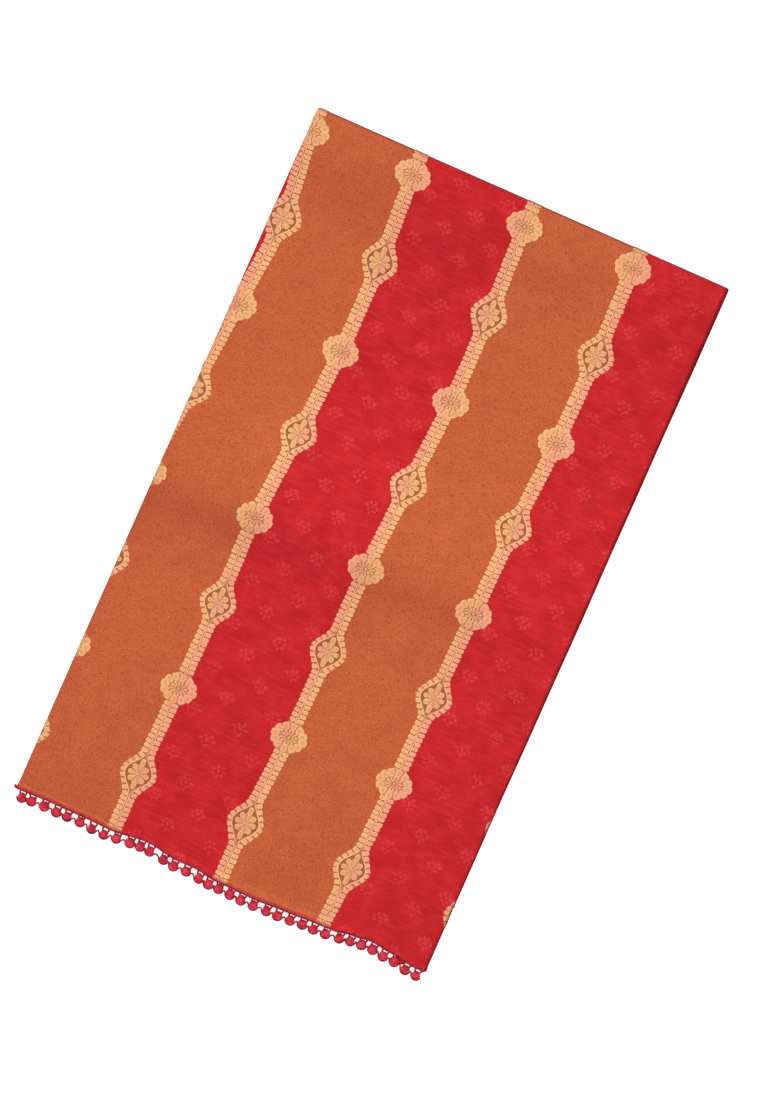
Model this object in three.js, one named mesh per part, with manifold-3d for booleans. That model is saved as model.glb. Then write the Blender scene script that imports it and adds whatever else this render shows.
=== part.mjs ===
// A folded art silk sari, lying flat on a surface. All sizes are in millimetres and +Z is up.
//
// The sari is one woven length. It is folded in four across its width, then in twelve along its
// length, so 48 layers lie on each other in twelve leaves. Positions on the packet are measured
// as u, across from its left side to its right, and v, down from the top fold to the pallu's end.
// Each stretch that shows is a thin wall, bent round the folds on one shared path.

import * as THREE from 'three';
import Module from 'manifold-3d';

// ---- The cloth and how it is folded
const CLOTH_WIDTH = 1100;
const CLOTH_LENGTH = 5500;
const FOLDS_ACROSS = 4;
const LEAVES = 12;
const LEAF = 1.35; // the height of one leaf: four layers of cloth
const PACKET_WIDTH = CLOTH_WIDTH / FOLDS_ACROSS;
const PACKET_LENGTH = CLOTH_LENGTH / LEAVES;
const PACKET_HEIGHT = LEAVES * LEAF;

// ---- Walls and gaps
const WALL = 1;
const GAP = 0.3;
const UNDER_TOP = WALL + GAP; // depths below the packet's upper face
const UNDER_BOTTOM = UNDER_TOP + WALL;
const CORE_TOP = UNDER_BOTTOM + GAP;
const CORE_BOTTOM = WALL + GAP; // above the surface that the packet lies on

// ---- The thick folds. The leaves lie in a zigzag of three bundles of four.
const BUNDLE = PACKET_HEIGHT / 3;
const NOSE_REACH = 5; // how far a thick fold's round nose stands out from its straight leaves
const SMALL_NOSE_REACH = 3.2;
const LOWER_FOLD_INSET = 3; // the lower thick fold lies back from the pallu's end
const TOP_NOSE_BOTTOM = BUNDLE + GAP / 2;
const SMALL_NOSE_TOP = BUNDLE - GAP / 2;
const LOWER_NOSE_TOP = 2 * BUNDLE - GAP;
const NOSE_STEPS = 6;
const SHELF = 0.05; // the height over which the core steps in or out at a fold
const SIDE_STEP = 0.4; // how far the core stays clear of a wall's end

// ---- The side folds of a leaf, as the wall's outer and inner points on the way down. The right
// fold goes round all four quarters, and the left one round the upper two.
const RIGHT_FOLD = [
  { outerIn: 1.7, outerDepth: 0, innerIn: 2.1, innerDepth: 1 },
  { outerIn: 0.5, outerDepth: 0.4, innerIn: 1.4, innerDepth: 1.2 },
  { outerIn: 0, outerDepth: 1.2, innerIn: 1.05, innerDepth: 1.5 },
  { outerIn: 0.35, outerDepth: 2.2, innerIn: 1.4, innerDepth: 2.2 },
];
const LEFT_FOLD = [
  { outerIn: 1.3, outerDepth: 0, innerIn: 1.8, innerDepth: 1 },
  { outerIn: 0.35, outerDepth: 0.3, innerIn: 1.25, innerDepth: 1.1 },
  { outerIn: 0, outerDepth: 0.9, innerIn: 1, innerDepth: 1.3 },
  { outerIn: 0.3, outerDepth: 1.7, innerIn: 1.3, innerDepth: 1.7 },
];
const FOLD_CLEARANCE = 2.4; // what lies inside a side fold ends this far from the packet's side

// ---- How the pressed packet falls away towards its edges
const FALLS = {
  top: { drop: 1.6, reach: 16 },
  end: { drop: 0.7, reach: 18 },
  left: { drop: 0.6, reach: 14 },
  right: { drop: 0.5, reach: 11 },
};

// ---- Soft creases in the upper face: a trough of this depth along a line of this direction.
// A ridge has a negative depth. Angles are from the packet's width towards the pallu's end.
const CREASES = [
  { u: 110, v: 262, angle: -1, length: 210, breadth: 10, depth: 0.55 },
  { u: 215, v: 246, angle: 4, length: 90, breadth: 12, depth: -0.3 },
  { u: 60, v: 120, angle: 2, length: 90, breadth: 16, depth: 0.25 },
  { u: 200, v: 150, angle: -3, length: 110, breadth: 18, depth: -0.25 },
  { u: 95, v: 352, angle: 3, length: 100, breadth: 15, depth: 0.25 },
  { u: 210, v: 388, angle: -4, length: 120, breadth: 16, depth: 0.3 },
  { u: 150, v: 425, angle: 88, length: 60, breadth: 12, depth: -0.25 },
];

// ---- The pallu's end isn't quite straight: how far it sags past its mean line
const END_SAG = [
  { u: 0, sag: 0.3 },
  { u: 49, sag: -1.5 },
  { u: 92, sag: -0.9 },
  { u: 129, sag: 0.5 },
  { u: 160, sag: 1.6 },
  { u: 197, sag: 1.1 },
  { u: 238, sag: -1.4 },
  { u: 275, sag: 1.2 },
];
const SAG_REACH = 60; // the length of cloth above the end that follows the sag
const HEM = { width: 4.6, step: 0.6, rise: 0.4 };

// ---- The quarter beneath: how far its end lies back from the face's end
const UNDER_END_BACK = { atFold: 1.2, atSelvedge: 7.5, levelFor: 70 };
const WANDER = { selvedge: 0.7, fold: 0.25, longWave: 37, shortWave: 13 };

// ---- The ridged sides of the hidden layers, as distances in from the packet's outline
const RIDGE = {
  left: { crest: 1.2, valley: 2 },
  right: { crest: 0.5, valley: 1.2 },
  end: { crest: 2.2, valley: 2.9 },
};
const CORNER_ROUND = 1.2;

// ---- Stations: where the walls have their points, across and along the packet
const ACROSS = [10, 29, 49, 92, 129, 160, 197, 238, 262];
const ALONG = [NOSE_REACH, 12, 26, 55, 100, 150, 200, 238, 252, 262, 272, 290, 335, 380, 415, 440];

// ---- The crochet edging
const TRIM = {
  pitch: 7.85, ball: 3.05, firstBall: 4.2,
  stripWidth: 1.2, stripHeight: 1, endClearance: 0.8,
  drop: 2.7, reach: 5.6, legSpread: 1.7, legRadius: 0.42, linkRadius: 0.4,
  unevenAlong: 0.45, unevenOut: 0.35, unevenWave: 3.3,
};
// The lower row's balls hang between those of the upper row, so its place in the row is a half
const UNDER_ROW_STARTS = 25.5;
const UNDER_TRIM = {
  firstBall: TRIM.firstBall + UNDER_ROW_STARTS * TRIM.pitch,
  drop: 6.2, reach: 3.4, clearOfFold: 6,
};
const BALL_SIDES = 7;
const BALL_RINGS = 4;
const THREAD_SIDES = 3;

// ---- Colours
const RUST = 0xc4622f;
const RED = 0xcd202a;
const DEEP_RED = 0x9e1626;

const wasm = await Module();
wasm.setup();

function fallOff(distance, fall) {
  return fall.drop * Math.exp(-distance / fall.reach);
}

function creaseDepth(u, v) {
  let depth = 0;
  for (const crease of CREASES) {
    const turn = THREE.MathUtils.degToRad(crease.angle);
    const du = u - crease.u;
    const dv = v - crease.v;
    const along = (du * Math.cos(turn) + dv * Math.sin(turn)) / (crease.length / 2);
    const across = (dv * Math.cos(turn) - du * Math.sin(turn)) / crease.breadth;
    depth += crease.depth * Math.exp(-across * across - along * along * along * along);
  }
  return depth;
}

// The height of the packet's upper face.
function topHeight(u, v) {
  const falls = fallOff(v, FALLS.top) + fallOff(PACKET_LENGTH - v, FALLS.end)
    + fallOff(u, FALLS.left) + fallOff(PACKET_WIDTH - u, FALLS.right);
  return PACKET_HEIGHT - falls - creaseDepth(u, v);
}

function smoothStep(x) {
  const t = Math.min(Math.max(x, 0), 1);
  return t * t * (3 - 2 * t);
}

// The sag of the pallu's end at u, on a smooth curve through the table's rows.
function endSag(u) {
  const last = END_SAG.length - 1;
  let row = 0;
  while (row < last - 1 && u > END_SAG[row + 1].u) row += 1;
  const from = END_SAG[row];
  const to = END_SAG[row + 1];
  return from.sag + (to.sag - from.sag) * smoothStep((u - from.u) / (to.u - from.u));
}

function sagged(u, v) {
  return v + endSag(u) * smoothStep((v - PACKET_LENGTH + SAG_REACH) / SAG_REACH);
}

// How far a leaf's edge strays from its mean line, different for each leaf.
function wander(leaf, along, amount) {
  const long = Math.sin(along / WANDER.longWave + leaf * 2.1);
  const short = Math.sin(along / WANDER.shortWave + leaf * 5.3);
  return amount * (0.65 * long + 0.35 * short);
}

function place(u, v, z) {
  return [u - PACKET_WIDTH / 2, PACKET_LENGTH / 2 - v, z];
}

// ---- Paths. Each returns the place on a stretch, at a depth inside its outer face.

// The thick fold at the top edge: half an ellipse between the upper face and the lower bundle.
function topNose(u, angle, depth) {
  const top = topHeight(u, NOSE_REACH);
  const radius = (top - TOP_NOSE_BOTTOM) / 2;
  const centre = (top + TOP_NOSE_BOTTOM) / 2;
  return {
    v: NOSE_REACH - (NOSE_REACH - depth) * Math.sin(angle),
    z: centre + (radius - depth) * Math.cos(angle),
  };
}

// The lower bundle's own small fold, beneath the thick one.
function smallNose(angle, depth) {
  const radius = SMALL_NOSE_TOP / 2;
  return {
    v: SMALL_NOSE_REACH - (SMALL_NOSE_REACH - depth) * Math.sin(angle),
    z: radius + (radius - depth) * Math.cos(angle),
  };
}

// The thick fold at the lower edge, round the middle and lower bundles.
function lowerNose(angle, depth) {
  const radius = LOWER_NOSE_TOP / 2;
  return {
    v: PACKET_LENGTH - LOWER_FOLD_INSET - NOSE_REACH + (NOSE_REACH - depth) * Math.sin(angle),
    z: radius - (radius - depth) * Math.cos(angle),
  };
}

// ---- Solids

function meshFrom(name, positions, triangles, colour) {
  const geometry = new THREE.BufferGeometry();
  geometry.setAttribute('position', new THREE.Float32BufferAttribute(positions, 3));
  geometry.setIndex(triangles);
  const material = new THREE.MeshStandardMaterial({ color: colour, roughness: 0.6, metalness: 0 });
  const mesh = new THREE.Mesh(geometry, material);
  mesh.name = name;
  return mesh;
}

// Six times the volume that the triangles enclose, negative where they face inwards.
function signedVolume(positions, triangles) {
  const corner = (i) => new THREE.Vector3().fromArray(positions, 3 * i);
  let total = 0;
  for (let t = 0; t < triangles.length; t += 3) {
    const [a, b, c] = [0, 1, 2].map((k) => corner(triangles[t + k]));
    total += a.dot(b.cross(c));
  }
  return total;
}

function turnedOut(positions, triangles) {
  if (signedVolume(positions, triangles) > 0) return triangles;
  const turned = [];
  for (let t = 0; t < triangles.length; t += 3) {
    turned.push(triangles[t], triangles[t + 2], triangles[t + 1]);
  }
  return turned;
}

// A wall of cloth: a row of outer and inner points is carried along a path of stations.
// at(point, station) places one point, and the row of points and the stations are lists.
function sheet(name, row, stations, at, colour) {
  const positions = [];
  for (const station of stations) {
    for (const side of ['outer', 'inner']) {
      for (const pair of row) positions.push(...at(pair[side], station));
    }
  }
  const count = row.length;
  const vertex = (station, side, i) => (2 * station + side) * count + i;
  const triangles = [];
  const quad = (a, b, c, d) => triangles.push(a, b, c, a, c, d);
  const last = stations.length - 1;
  for (let s = 0; s < last; s += 1) {
    for (let i = 0; i < count - 1; i += 1) {
      quad(vertex(s, 0, i), vertex(s, 0, i + 1), vertex(s + 1, 0, i + 1), vertex(s + 1, 0, i));
      quad(vertex(s, 1, i + 1), vertex(s, 1, i), vertex(s + 1, 1, i), vertex(s + 1, 1, i + 1));
    }
    quad(vertex(s, 1, 0), vertex(s, 0, 0), vertex(s + 1, 0, 0), vertex(s + 1, 1, 0));
    const end = count - 1;
    quad(vertex(s, 0, end), vertex(s, 1, end), vertex(s + 1, 1, end), vertex(s + 1, 0, end));
  }
  for (let i = 0; i < count - 1; i += 1) {
    quad(vertex(0, 0, i), vertex(0, 1, i), vertex(0, 1, i + 1), vertex(0, 0, i + 1));
    quad(vertex(last, 0, i + 1), vertex(last, 1, i + 1), vertex(last, 1, i), vertex(last, 0, i));
  }
  return meshFrom(name, positions, turnedOut(positions, triangles), colour);
}

// The points across a stretch that turns over the leaf's folds on both sides.
function foldedRow() {
  const left = LEFT_FOLD.map((step) => ({
    outer: { u: step.outerIn, depth: step.outerDepth },
    inner: { u: step.innerIn, depth: step.innerDepth },
  }));
  const right = RIGHT_FOLD.map((step) => ({
    outer: { u: PACKET_WIDTH - step.outerIn, depth: step.outerDepth },
    inner: { u: PACKET_WIDTH - step.innerIn, depth: step.innerDepth },
  }));
  const flat = ACROSS.map((u) => ({ outer: { u, depth: 0 }, inner: { u, depth: WALL } }));
  return [...left.reverse(), ...flat, ...right];
}

function noseStations(kind, withFirst) {
  const stations = [];
  for (let i = withFirst ? 0 : 1; i <= NOSE_STEPS; i += 1) {
    stations.push({ kind, angle: (Math.PI * i) / NOSE_STEPS });
  }
  return stations;
}

// The pallu's upper quarter: from its hem, up the packet and round the thick top fold.
function palluFace() {
  const hemLine = PACKET_LENGTH - HEM.width;
  const flat = [...ALONG, hemLine - HEM.step, hemLine, PACKET_LENGTH];
  const stations = flat.reverse().map((v) => ({ kind: 'flat', v }));
  stations.push(...noseStations('nose', false));
  const at = (point, station) => {
    if (station.kind === 'nose') {
      const spot = topNose(point.u, station.angle, point.depth);
      return place(point.u, spot.v, spot.z);
    }
    const rise = station.v >= hemLine && point.depth === 0 ? HEM.rise : 0;
    const height = topHeight(point.u, station.v) - point.depth + rise;
    return place(point.u, sagged(point.u, station.v), height);
  };
  return sheet('pallu_face', foldedRow(), stations, at, RUST);
}

// Where the quarter beneath ends: nearly level with the face by the fold, further back beyond.
function underEnd(u) {
  const share = smoothStep((PACKET_WIDTH - UNDER_END_BACK.levelFor - u) / (PACKET_WIDTH / 2));
  const back = UNDER_END_BACK.atFold + (UNDER_END_BACK.atSelvedge - UNDER_END_BACK.atFold) * share;
  return sagged(u, PACKET_LENGTH) - back;
}

function palluUnder() {
  const lastU = PACKET_WIDTH - FOLD_CLEARANCE;
  const row = [0, ...ACROSS, lastU].map((u) => ({
    outer: { u, depth: UNDER_TOP },
    inner: { u, depth: UNDER_BOTTOM },
  }));
  const stations = [...ALONG, PACKET_LENGTH].reverse().map((v) => ({ kind: 'flat', v }));
  stations.push(...noseStations('nose', false));
  const at = (point, station) => {
    const along = station.kind === 'nose' ? NOSE_REACH : station.v;
    const edge = FOLD_CLEARANCE + wander(1, along, WANDER.fold);
    const u = point.u === 0 ? edge : point.u;
    if (station.kind === 'nose') {
      const spot = topNose(u, station.angle, point.depth);
      return place(u, spot.v, spot.z);
    }
    const v = station.v === PACKET_LENGTH ? underEnd(u) : station.v;
    return place(u, v, topHeight(u, station.v) - point.depth);
  };
  return sheet('pallu_under', row, stations, at, RED);
}

// The stretch that the packet lies on, from the lower bundle's small fold, along the surface
// and up round the thick lower fold.
function baseStretch() {
  const stations = noseStations('small', true);
  for (const v of ALONG) stations.push({ kind: 'flat', v });
  stations.push(...noseStations('lower', true));
  const at = (point, station) => {
    if (station.kind === 'flat') return place(point.u, station.v, point.depth);
    const nose = station.kind === 'small' ? smallNose : lowerNose;
    const spot = nose(station.angle, point.depth);
    return place(point.u, spot.v, spot.z);
  };
  return sheet('base_stretch', foldedRow(), stations, at, RUST);
}

// ---- The hidden layers

// How far an elliptical nose stands out from its straight part, at a height.
function noseReach(height, centre, radius, reach) {
  const part = (height - centre) / radius;
  return reach * Math.sqrt(Math.max(0, 1 - part * part));
}

// How far in from the top edge the hidden layers start, at a height.
function coreTopInset(u, z) {
  const top = topHeight(u, NOSE_REACH);
  const centre = (top + TOP_NOSE_BOTTOM) / 2;
  const radius = (top - TOP_NOSE_BOTTOM) / 2 - CORE_TOP;
  if (z > centre - radius) {
    return NOSE_REACH + SIDE_STEP - noseReach(z, centre, radius, NOSE_REACH - CORE_TOP);
  }
  const smallRadius = SMALL_NOSE_TOP / 2;
  if (z > SMALL_NOSE_TOP - CORE_BOTTOM) return NOSE_REACH + SIDE_STEP;
  const reach = SMALL_NOSE_REACH - CORE_BOTTOM;
  return SMALL_NOSE_REACH + SIDE_STEP - noseReach(z, smallRadius, smallRadius - CORE_BOTTOM, reach);
}

// The same at the pallu's end: inside the thick lower fold, then the free ends of the leaves.
function coreEndInset(z, ridge) {
  const radius = LOWER_NOSE_TOP / 2;
  const straight = LOWER_FOLD_INSET + NOSE_REACH + SIDE_STEP;
  if (z > SHELF_BOTTOM) return ridge;
  return straight - noseReach(z, radius, radius - CORE_BOTTOM, NOSE_REACH - CORE_BOTTOM);
}

// The core steps out again just above the thick lower fold, where the upper bundle's leaves end.
const SHELF_BOTTOM = 2 * BUNDLE;
const SHELF_TOP = SHELF_BOTTOM + SHELF;

// Levels up the sides: a valley between two leaves, then the crest of a leaf, and the shelf.
function coreLevels() {
  const top = PACKET_HEIGHT - CORE_TOP;
  const levels = [];
  for (let leaf = 1; (leaf + 0.5) * LEAF < top; leaf += 1) {
    levels.push({ z: Math.max(leaf * LEAF, CORE_BOTTOM), leaf, crest: false });
    levels.push({ z: (leaf + 0.5) * LEAF, leaf, crest: true });
  }
  const highest = levels[levels.length - 1];
  levels.push({ z: SHELF_TOP, leaf: Math.round(SHELF_BOTTOM / LEAF), crest: false });
  levels.push({ z: top, leaf: highest.leaf + 1, crest: false });
  return levels.sort((a, b) => a.z - b.z);
}

// Levels keep their height up to the lower fold's shelf, and above it follow the upper face.
function levelHeight(level, u, v) {
  if (level.z <= SHELF_TOP) return level.z;
  const share = (level.z - SHELF_TOP) / (PACKET_HEIGHT - CORE_TOP - SHELF_TOP);
  return SHELF_TOP + share * (topHeight(u, v) - CORE_TOP - SHELF_TOP);
}

function foldedLayers() {
  const us = [0, ...ACROSS, PACKET_WIDTH];
  const vs = [0, ...ALONG.slice(1), PACKET_LENGTH];
  const lastU = us.length - 1;
  const lastV = vs.length - 1;
  const levels = coreLevels();
  const foldTop = RIGHT_FOLD[RIGHT_FOLD.length - 1].innerDepth + GAP;

  const spot = (i, j, level) => {
    const side = level.crest ? 'crest' : 'valley';
    let u = us[i];
    let v = vs[j];
    const corner = (i === 0 || i === lastU) && (j === 0 || j === lastV) ? CORNER_ROUND : 0;
    const inFold = level.z < foldTop;
    if (i === 0) {
      const ridge = RIDGE.left[side] + wander(level.leaf, v, WANDER.selvedge);
      u = corner + (inFold ? FOLD_CLEARANCE : ridge);
    }
    if (i === lastU) {
      const ridge = RIDGE.right[side] + wander(level.leaf, v, WANDER.fold);
      u = PACKET_WIDTH - corner - (inFold ? FOLD_CLEARANCE : ridge);
    }
    if (j === 0) v = coreTopInset(u, levelHeight(level, u, NOSE_REACH)) + corner;
    if (j === lastV) {
      const height = levelHeight(level, u, PACKET_LENGTH);
      const ridge = RIDGE.end[side] + wander(level.leaf, u, WANDER.selvedge) - endSag(u);
      v = PACKET_LENGTH - corner - coreEndInset(height, ridge);
    }
    const heightAt = j === 0 ? NOSE_REACH : vs[j];
    return place(u, v, levelHeight(level, u, heightAt));
  };

  const rim = [];
  for (let i = 0; i < lastU; i += 1) rim.push([i, 0]);
  for (let j = 0; j < lastV; j += 1) rim.push([lastU, j]);
  for (let i = lastU; i > 0; i -= 1) rim.push([i, lastV]);
  for (let j = lastV; j > 0; j -= 1) rim.push([0, j]);
  const rimIndex = new Map(rim.map(([i, j], k) => [`${i},${j}`, k]));

  const positions = [];
  for (const level of levels) {
    for (const [i, j] of rim) positions.push(...spot(i, j, level));
  }
  const triangles = [];
  const quad = (a, b, c, d) => triangles.push(a, b, c, a, c, d);
  const count = rim.length;
  for (let k = 0; k < levels.length - 1; k += 1) {
    for (let r = 0; r < count; r += 1) {
      const next = (r + 1) % count;
      const below = k * count;
      const above = below + count;
      quad(below + r, below + next, above + next, above + r);
    }
  }

  // The flat bottom and the rolling top, on the same stations as the walls above them.
  const cap = (level, turned) => {
    const rimStart = levels.indexOf(level) * count;
    const inner = new Map();
    const vertex = (i, j) => {
      const key = `${i},${j}`;
      if (rimIndex.has(key)) return rimStart + rimIndex.get(key);
      if (!inner.has(key)) {
        inner.set(key, positions.length / 3);
        positions.push(...spot(i, j, level));
      }
      return inner.get(key);
    };
    for (let i = 0; i < lastU; i += 1) {
      for (let j = 0; j < lastV; j += 1) {
        const corners = [vertex(i, j), vertex(i + 1, j), vertex(i + 1, j + 1), vertex(i, j + 1)];
        quad(...(turned ? corners.reverse() : corners));
      }
    }
  };
  cap(levels[0], true);
  cap(levels[levels.length - 1], false);
  return meshFrom('folded_layers', positions, turnedOut(positions, triangles), DEEP_RED);
}

// ---- The crochet edging

function manifoldFrom(positions, triangles) {
  const mesh = new wasm.Mesh({
    numProp: 3,
    vertProperties: new Float32Array(positions),
    triVerts: new Uint32Array(turnedOut(positions, triangles)),
  });
  mesh.merge();
  return new wasm.Manifold(mesh);
}

function manifoldOf(geometry) {
  const positions = [...geometry.attributes.position.array];
  const index = geometry.index ? [...geometry.index.array] : positions.map((_, i) => i);
  const kept = new Map();
  const points = [];
  const same = [];
  for (let i = 0; i < positions.length; i += 3) {
    const point = positions.slice(i, i + 3);
    const key = point.map((x) => Math.round(x * 1e4)).join();
    if (!kept.has(key)) {
      kept.set(key, points.length / 3);
      points.push(...point);
    }
    same.push(kept.get(key));
  }
  const triangles = [];
  for (let t = 0; t < index.length; t += 3) {
    const [a, b, c] = [same[index[t]], same[index[t + 1]], same[index[t + 2]]];
    if (a !== b && b !== c && c !== a) triangles.push(a, b, c);
  }
  return manifoldFrom(points, triangles);
}

function threadBetween(from, to, radius) {
  const start = new THREE.Vector3(...from);
  const end = new THREE.Vector3(...to);
  const run = end.clone().sub(start);
  const geometry = new THREE.CylinderGeometry(radius, radius, run.length(), THREAD_SIDES);
  const up = new THREE.Vector3(0, 1, 0);
  geometry.applyQuaternion(new THREE.Quaternion().setFromUnitVectors(up, run.normalize()));
  const middle = start.add(end).multiplyScalar(0.5);
  geometry.translate(middle.x, middle.y, middle.z);
  return manifoldOf(geometry);
}

// The chain that is worked along the cloth's end: a narrow strip from one u to another.
function chainStrip(edge, fromU, toU) {
  const stops = [fromU, ...ACROSS.filter((u) => u > fromU && u < toU), toU];
  for (const row of END_SAG) {
    if (row.u > fromU && row.u < toU && !stops.includes(row.u)) stops.push(row.u);
  }
  stops.sort((a, b) => a - b);
  const positions = [];
  for (const u of stops) {
    const { v, z } = edge(u);
    const near = v + GAP;
    const far = near + TRIM.stripWidth;
    const low = z - TRIM.stripHeight;
    positions.push(...place(u, near, z), ...place(u, far, z));
    positions.push(...place(u, far, low), ...place(u, near, low));
  }
  const triangles = [];
  const quad = (a, b, c, d) => triangles.push(a, b, c, a, c, d);
  for (let s = 0; s < stops.length - 1; s += 1) {
    for (let k = 0; k < 4; k += 1) {
      const next = (k + 1) % 4;
      quad(4 * s + k, 4 * s + next, 4 * s + 4 + next, 4 * s + 4 + k);
    }
  }
  const end = 4 * (stops.length - 1);
  quad(3, 2, 1, 0);
  quad(end, end + 1, end + 2, end + 3);
  return manifoldFrom(positions, triangles);
}

// A row of thread balls, each on two legs from the chain, with a thread from ball to ball.
function ballEdging(name, edge, span, colour) {
  let solid = chainStrip(edge, span.from, span.to);
  let before = null;
  for (let u = span.firstBall; u < span.to - TRIM.ball; u += TRIM.pitch) {
    const at = u + TRIM.unevenAlong * Math.sin(u / TRIM.unevenWave);
    const out = span.reach + TRIM.unevenOut * Math.cos(2 * u / TRIM.unevenWave);
    const { v, z } = edge(at);
    const centre = place(at, v + GAP + out, z - span.drop);
    const ball = new THREE.SphereGeometry(TRIM.ball, BALL_SIDES, BALL_RINGS);
    ball.rotateX(Math.PI / 2);
    ball.translate(...centre);
    solid = solid.add(manifoldOf(ball));
    for (const side of [-1, 1]) {
      const root = edge(at + side * TRIM.legSpread);
      const rootV = root.v + GAP + TRIM.stripWidth / 2;
      const start = place(at + side * TRIM.legSpread, rootV, root.z - TRIM.stripHeight / 2);
      const aim = [centre[0] + side * TRIM.legSpread * 0.6, centre[1], centre[2]];
      solid = solid.add(threadBetween(start, aim, TRIM.legRadius));
    }
    if (before) solid = solid.add(threadBetween(before, centre, TRIM.linkRadius));
    before = centre;
  }
  const made = solid.getMesh();
  return meshFrom(name, [...made.vertProperties], [...made.triVerts], colour);
}

function palluTrim() {
  const edge = (u) => ({
    v: sagged(u, PACKET_LENGTH),
    z: topHeight(Math.min(Math.max(u, 0), PACKET_WIDTH), PACKET_LENGTH),
  });
  const span = {
    from: TRIM.endClearance, to: PACKET_WIDTH - TRIM.endClearance,
    firstBall: TRIM.firstBall, drop: TRIM.drop, reach: TRIM.reach,
  };
  return ballEdging('pallu_trim', edge, span, RED);
}

function underTrim() {
  const edge = (u) => ({ v: underEnd(u), z: topHeight(u, PACKET_LENGTH) - UNDER_TOP });
  const span = {
    from: UNDER_TRIM.firstBall - TRIM.ball, to: PACKET_WIDTH - UNDER_TRIM.clearOfFold,
    firstBall: UNDER_TRIM.firstBall, drop: UNDER_TRIM.drop, reach: UNDER_TRIM.reach,
  };
  return ballEdging('under_trim', edge, span, DEEP_RED);
}

// ---- The part, with its origin on the surface under the middle of its outline
const group = new THREE.Group();
group.add(palluFace(), palluUnder(), foldedLayers(), baseStretch(), palluTrim(), underTrim());
const box = new THREE.Box3().setFromObject(group);
const middle = box.getCenter(new THREE.Vector3());
group.position.set(-middle.x, -middle.y, -box.min.z);

export default group;
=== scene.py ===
# %% [markdown]
# # A folded art silk sari
# A sari is one woven length of cloth, about 5.5 m by 1.1 m. This lesson dresses a plain CAD model
# of one that is folded flat. It folds the whole length by a rule, as hands would, weaves its
# stripes and zari bands in a procedural material, lays the raised zari work onto the cloth, and
# crochets the ball edging at the pallu's end.
#
# The work is in millimetres, which suit cloth, and meshes are turned into metres when made.

# %% Load the frame
import math
from functools import partialmethod

import bpy
import numpy as np
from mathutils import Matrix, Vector


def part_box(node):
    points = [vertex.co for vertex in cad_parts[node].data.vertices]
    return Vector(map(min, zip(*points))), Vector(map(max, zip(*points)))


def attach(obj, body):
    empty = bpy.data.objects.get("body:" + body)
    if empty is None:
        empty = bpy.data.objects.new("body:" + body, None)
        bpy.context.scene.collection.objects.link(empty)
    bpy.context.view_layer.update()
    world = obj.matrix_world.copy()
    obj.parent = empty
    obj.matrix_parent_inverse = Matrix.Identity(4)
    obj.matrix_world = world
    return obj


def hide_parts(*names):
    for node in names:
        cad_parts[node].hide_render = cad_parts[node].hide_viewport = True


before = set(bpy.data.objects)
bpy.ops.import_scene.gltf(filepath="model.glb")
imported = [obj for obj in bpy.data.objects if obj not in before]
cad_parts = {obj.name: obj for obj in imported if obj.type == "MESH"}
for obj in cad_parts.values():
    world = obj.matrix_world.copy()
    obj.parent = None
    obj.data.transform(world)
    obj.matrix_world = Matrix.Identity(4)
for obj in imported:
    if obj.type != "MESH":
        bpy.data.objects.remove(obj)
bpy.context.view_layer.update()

print("CAD nodes:", sorted(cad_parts))

# %% [markdown]
# ## The cloth and how it is folded
# The width is folded in four and the length in twelve, so a leaf is four quarters of cloth, and
# twelve leaves lie in three bundles of four. These sizes are the ones that the CAD solids have.
#
# A place on the packet has `u`, across from its left side, and `v`, down from its top fold.
# A place on the cloth has `across`, from the left fold of the pallu's face, and `along`, from the
# pallu's end. Where the cloth turns over the left fold, `across` is below zero.

# %% Sizes
CLOTH_WIDTH = 1100.0
CLOTH_LENGTH = 5500.0
QUARTER = CLOTH_WIDTH / 4
LEAVES = 12
PANEL = CLOTH_LENGTH / LEAVES
LEAF = 1.35
HEIGHT = LEAVES * LEAF
BUNDLE = 4 * LEAF
CLOTH_THICK = 0.2
TOP_EDGE_Y = 1000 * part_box("pallu_face")[1].y  # where v is 0, in the frame
MIDDLE_U = 137.0  # far from both side folds, where the length of a turn is measured

QUARTER_DEPTHS = {"face": 0.17, "second": 0.50, "third": 0.84, "fourth": 1.18}
LEFT_LOOP = 0.42  # the radius of the loop at a leaf's left fold
BENDS = (90.0, 200.0)  # u of the points that a straight quarter has
FOLD_REACH = 9.0  # how far in from a fold its stray is felt
SELVEDGE_REACH = 120.0  # and how far in from a free selvedge

UPPER_FLOOR = BUNDLE + 0.05  # the lower face of the middle bundle
LOWER_ROOF = BUNDLE - 0.05  # the upper face of the lowest bundle
TOP_NOSE_REACH = 5.0
SMALL_NOSE_REACH = 3.2
LOWER_NOSE_REACH = 5.0
LOWER_FOLD_INSET = 3.0
END_TURN_REACH = 1.6
END_TURN_BACK = 4.5
LAST_END_BACK = 5.5

FALLS = {"top": (1.6, 16), "end": (0.7, 18), "left": (0.6, 14), "right": (0.5, 11)}  # drop, reach
CREASES = [  # u, v, angle, length, breadth, depth
    (110, 262, -1, 210, 10, 0.55),
    (215, 246, 4, 90, 12, -0.3),
    (60, 120, 2, 90, 16, 0.25),
    (200, 150, -3, 110, 18, -0.25),
    (95, 352, 3, 100, 15, 0.25),
    (210, 388, -4, 120, 16, 0.3),
    (150, 425, 88, 60, 12, -0.25),
]
END_SAG = [(0, 0.3), (20, -0.3), (45, -0.2), (62, 0.3), (86, -2.1), (107, 0.9), (118, 0.8), (134, 2.9),
           (160, 3.5), (181, 2.6), (200, 1.7), (212, 1.4), (224, -0.6), (237, -2.0), (250, -0.3),
           (268, 2.0), (275, 2.3)]
SAG_REACH = 60.0  # how far up from the pallu's end its sag is felt
HEM = 3.2  # the rolled hem at the pallu's end
HEM_RISE = 0.3
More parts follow.
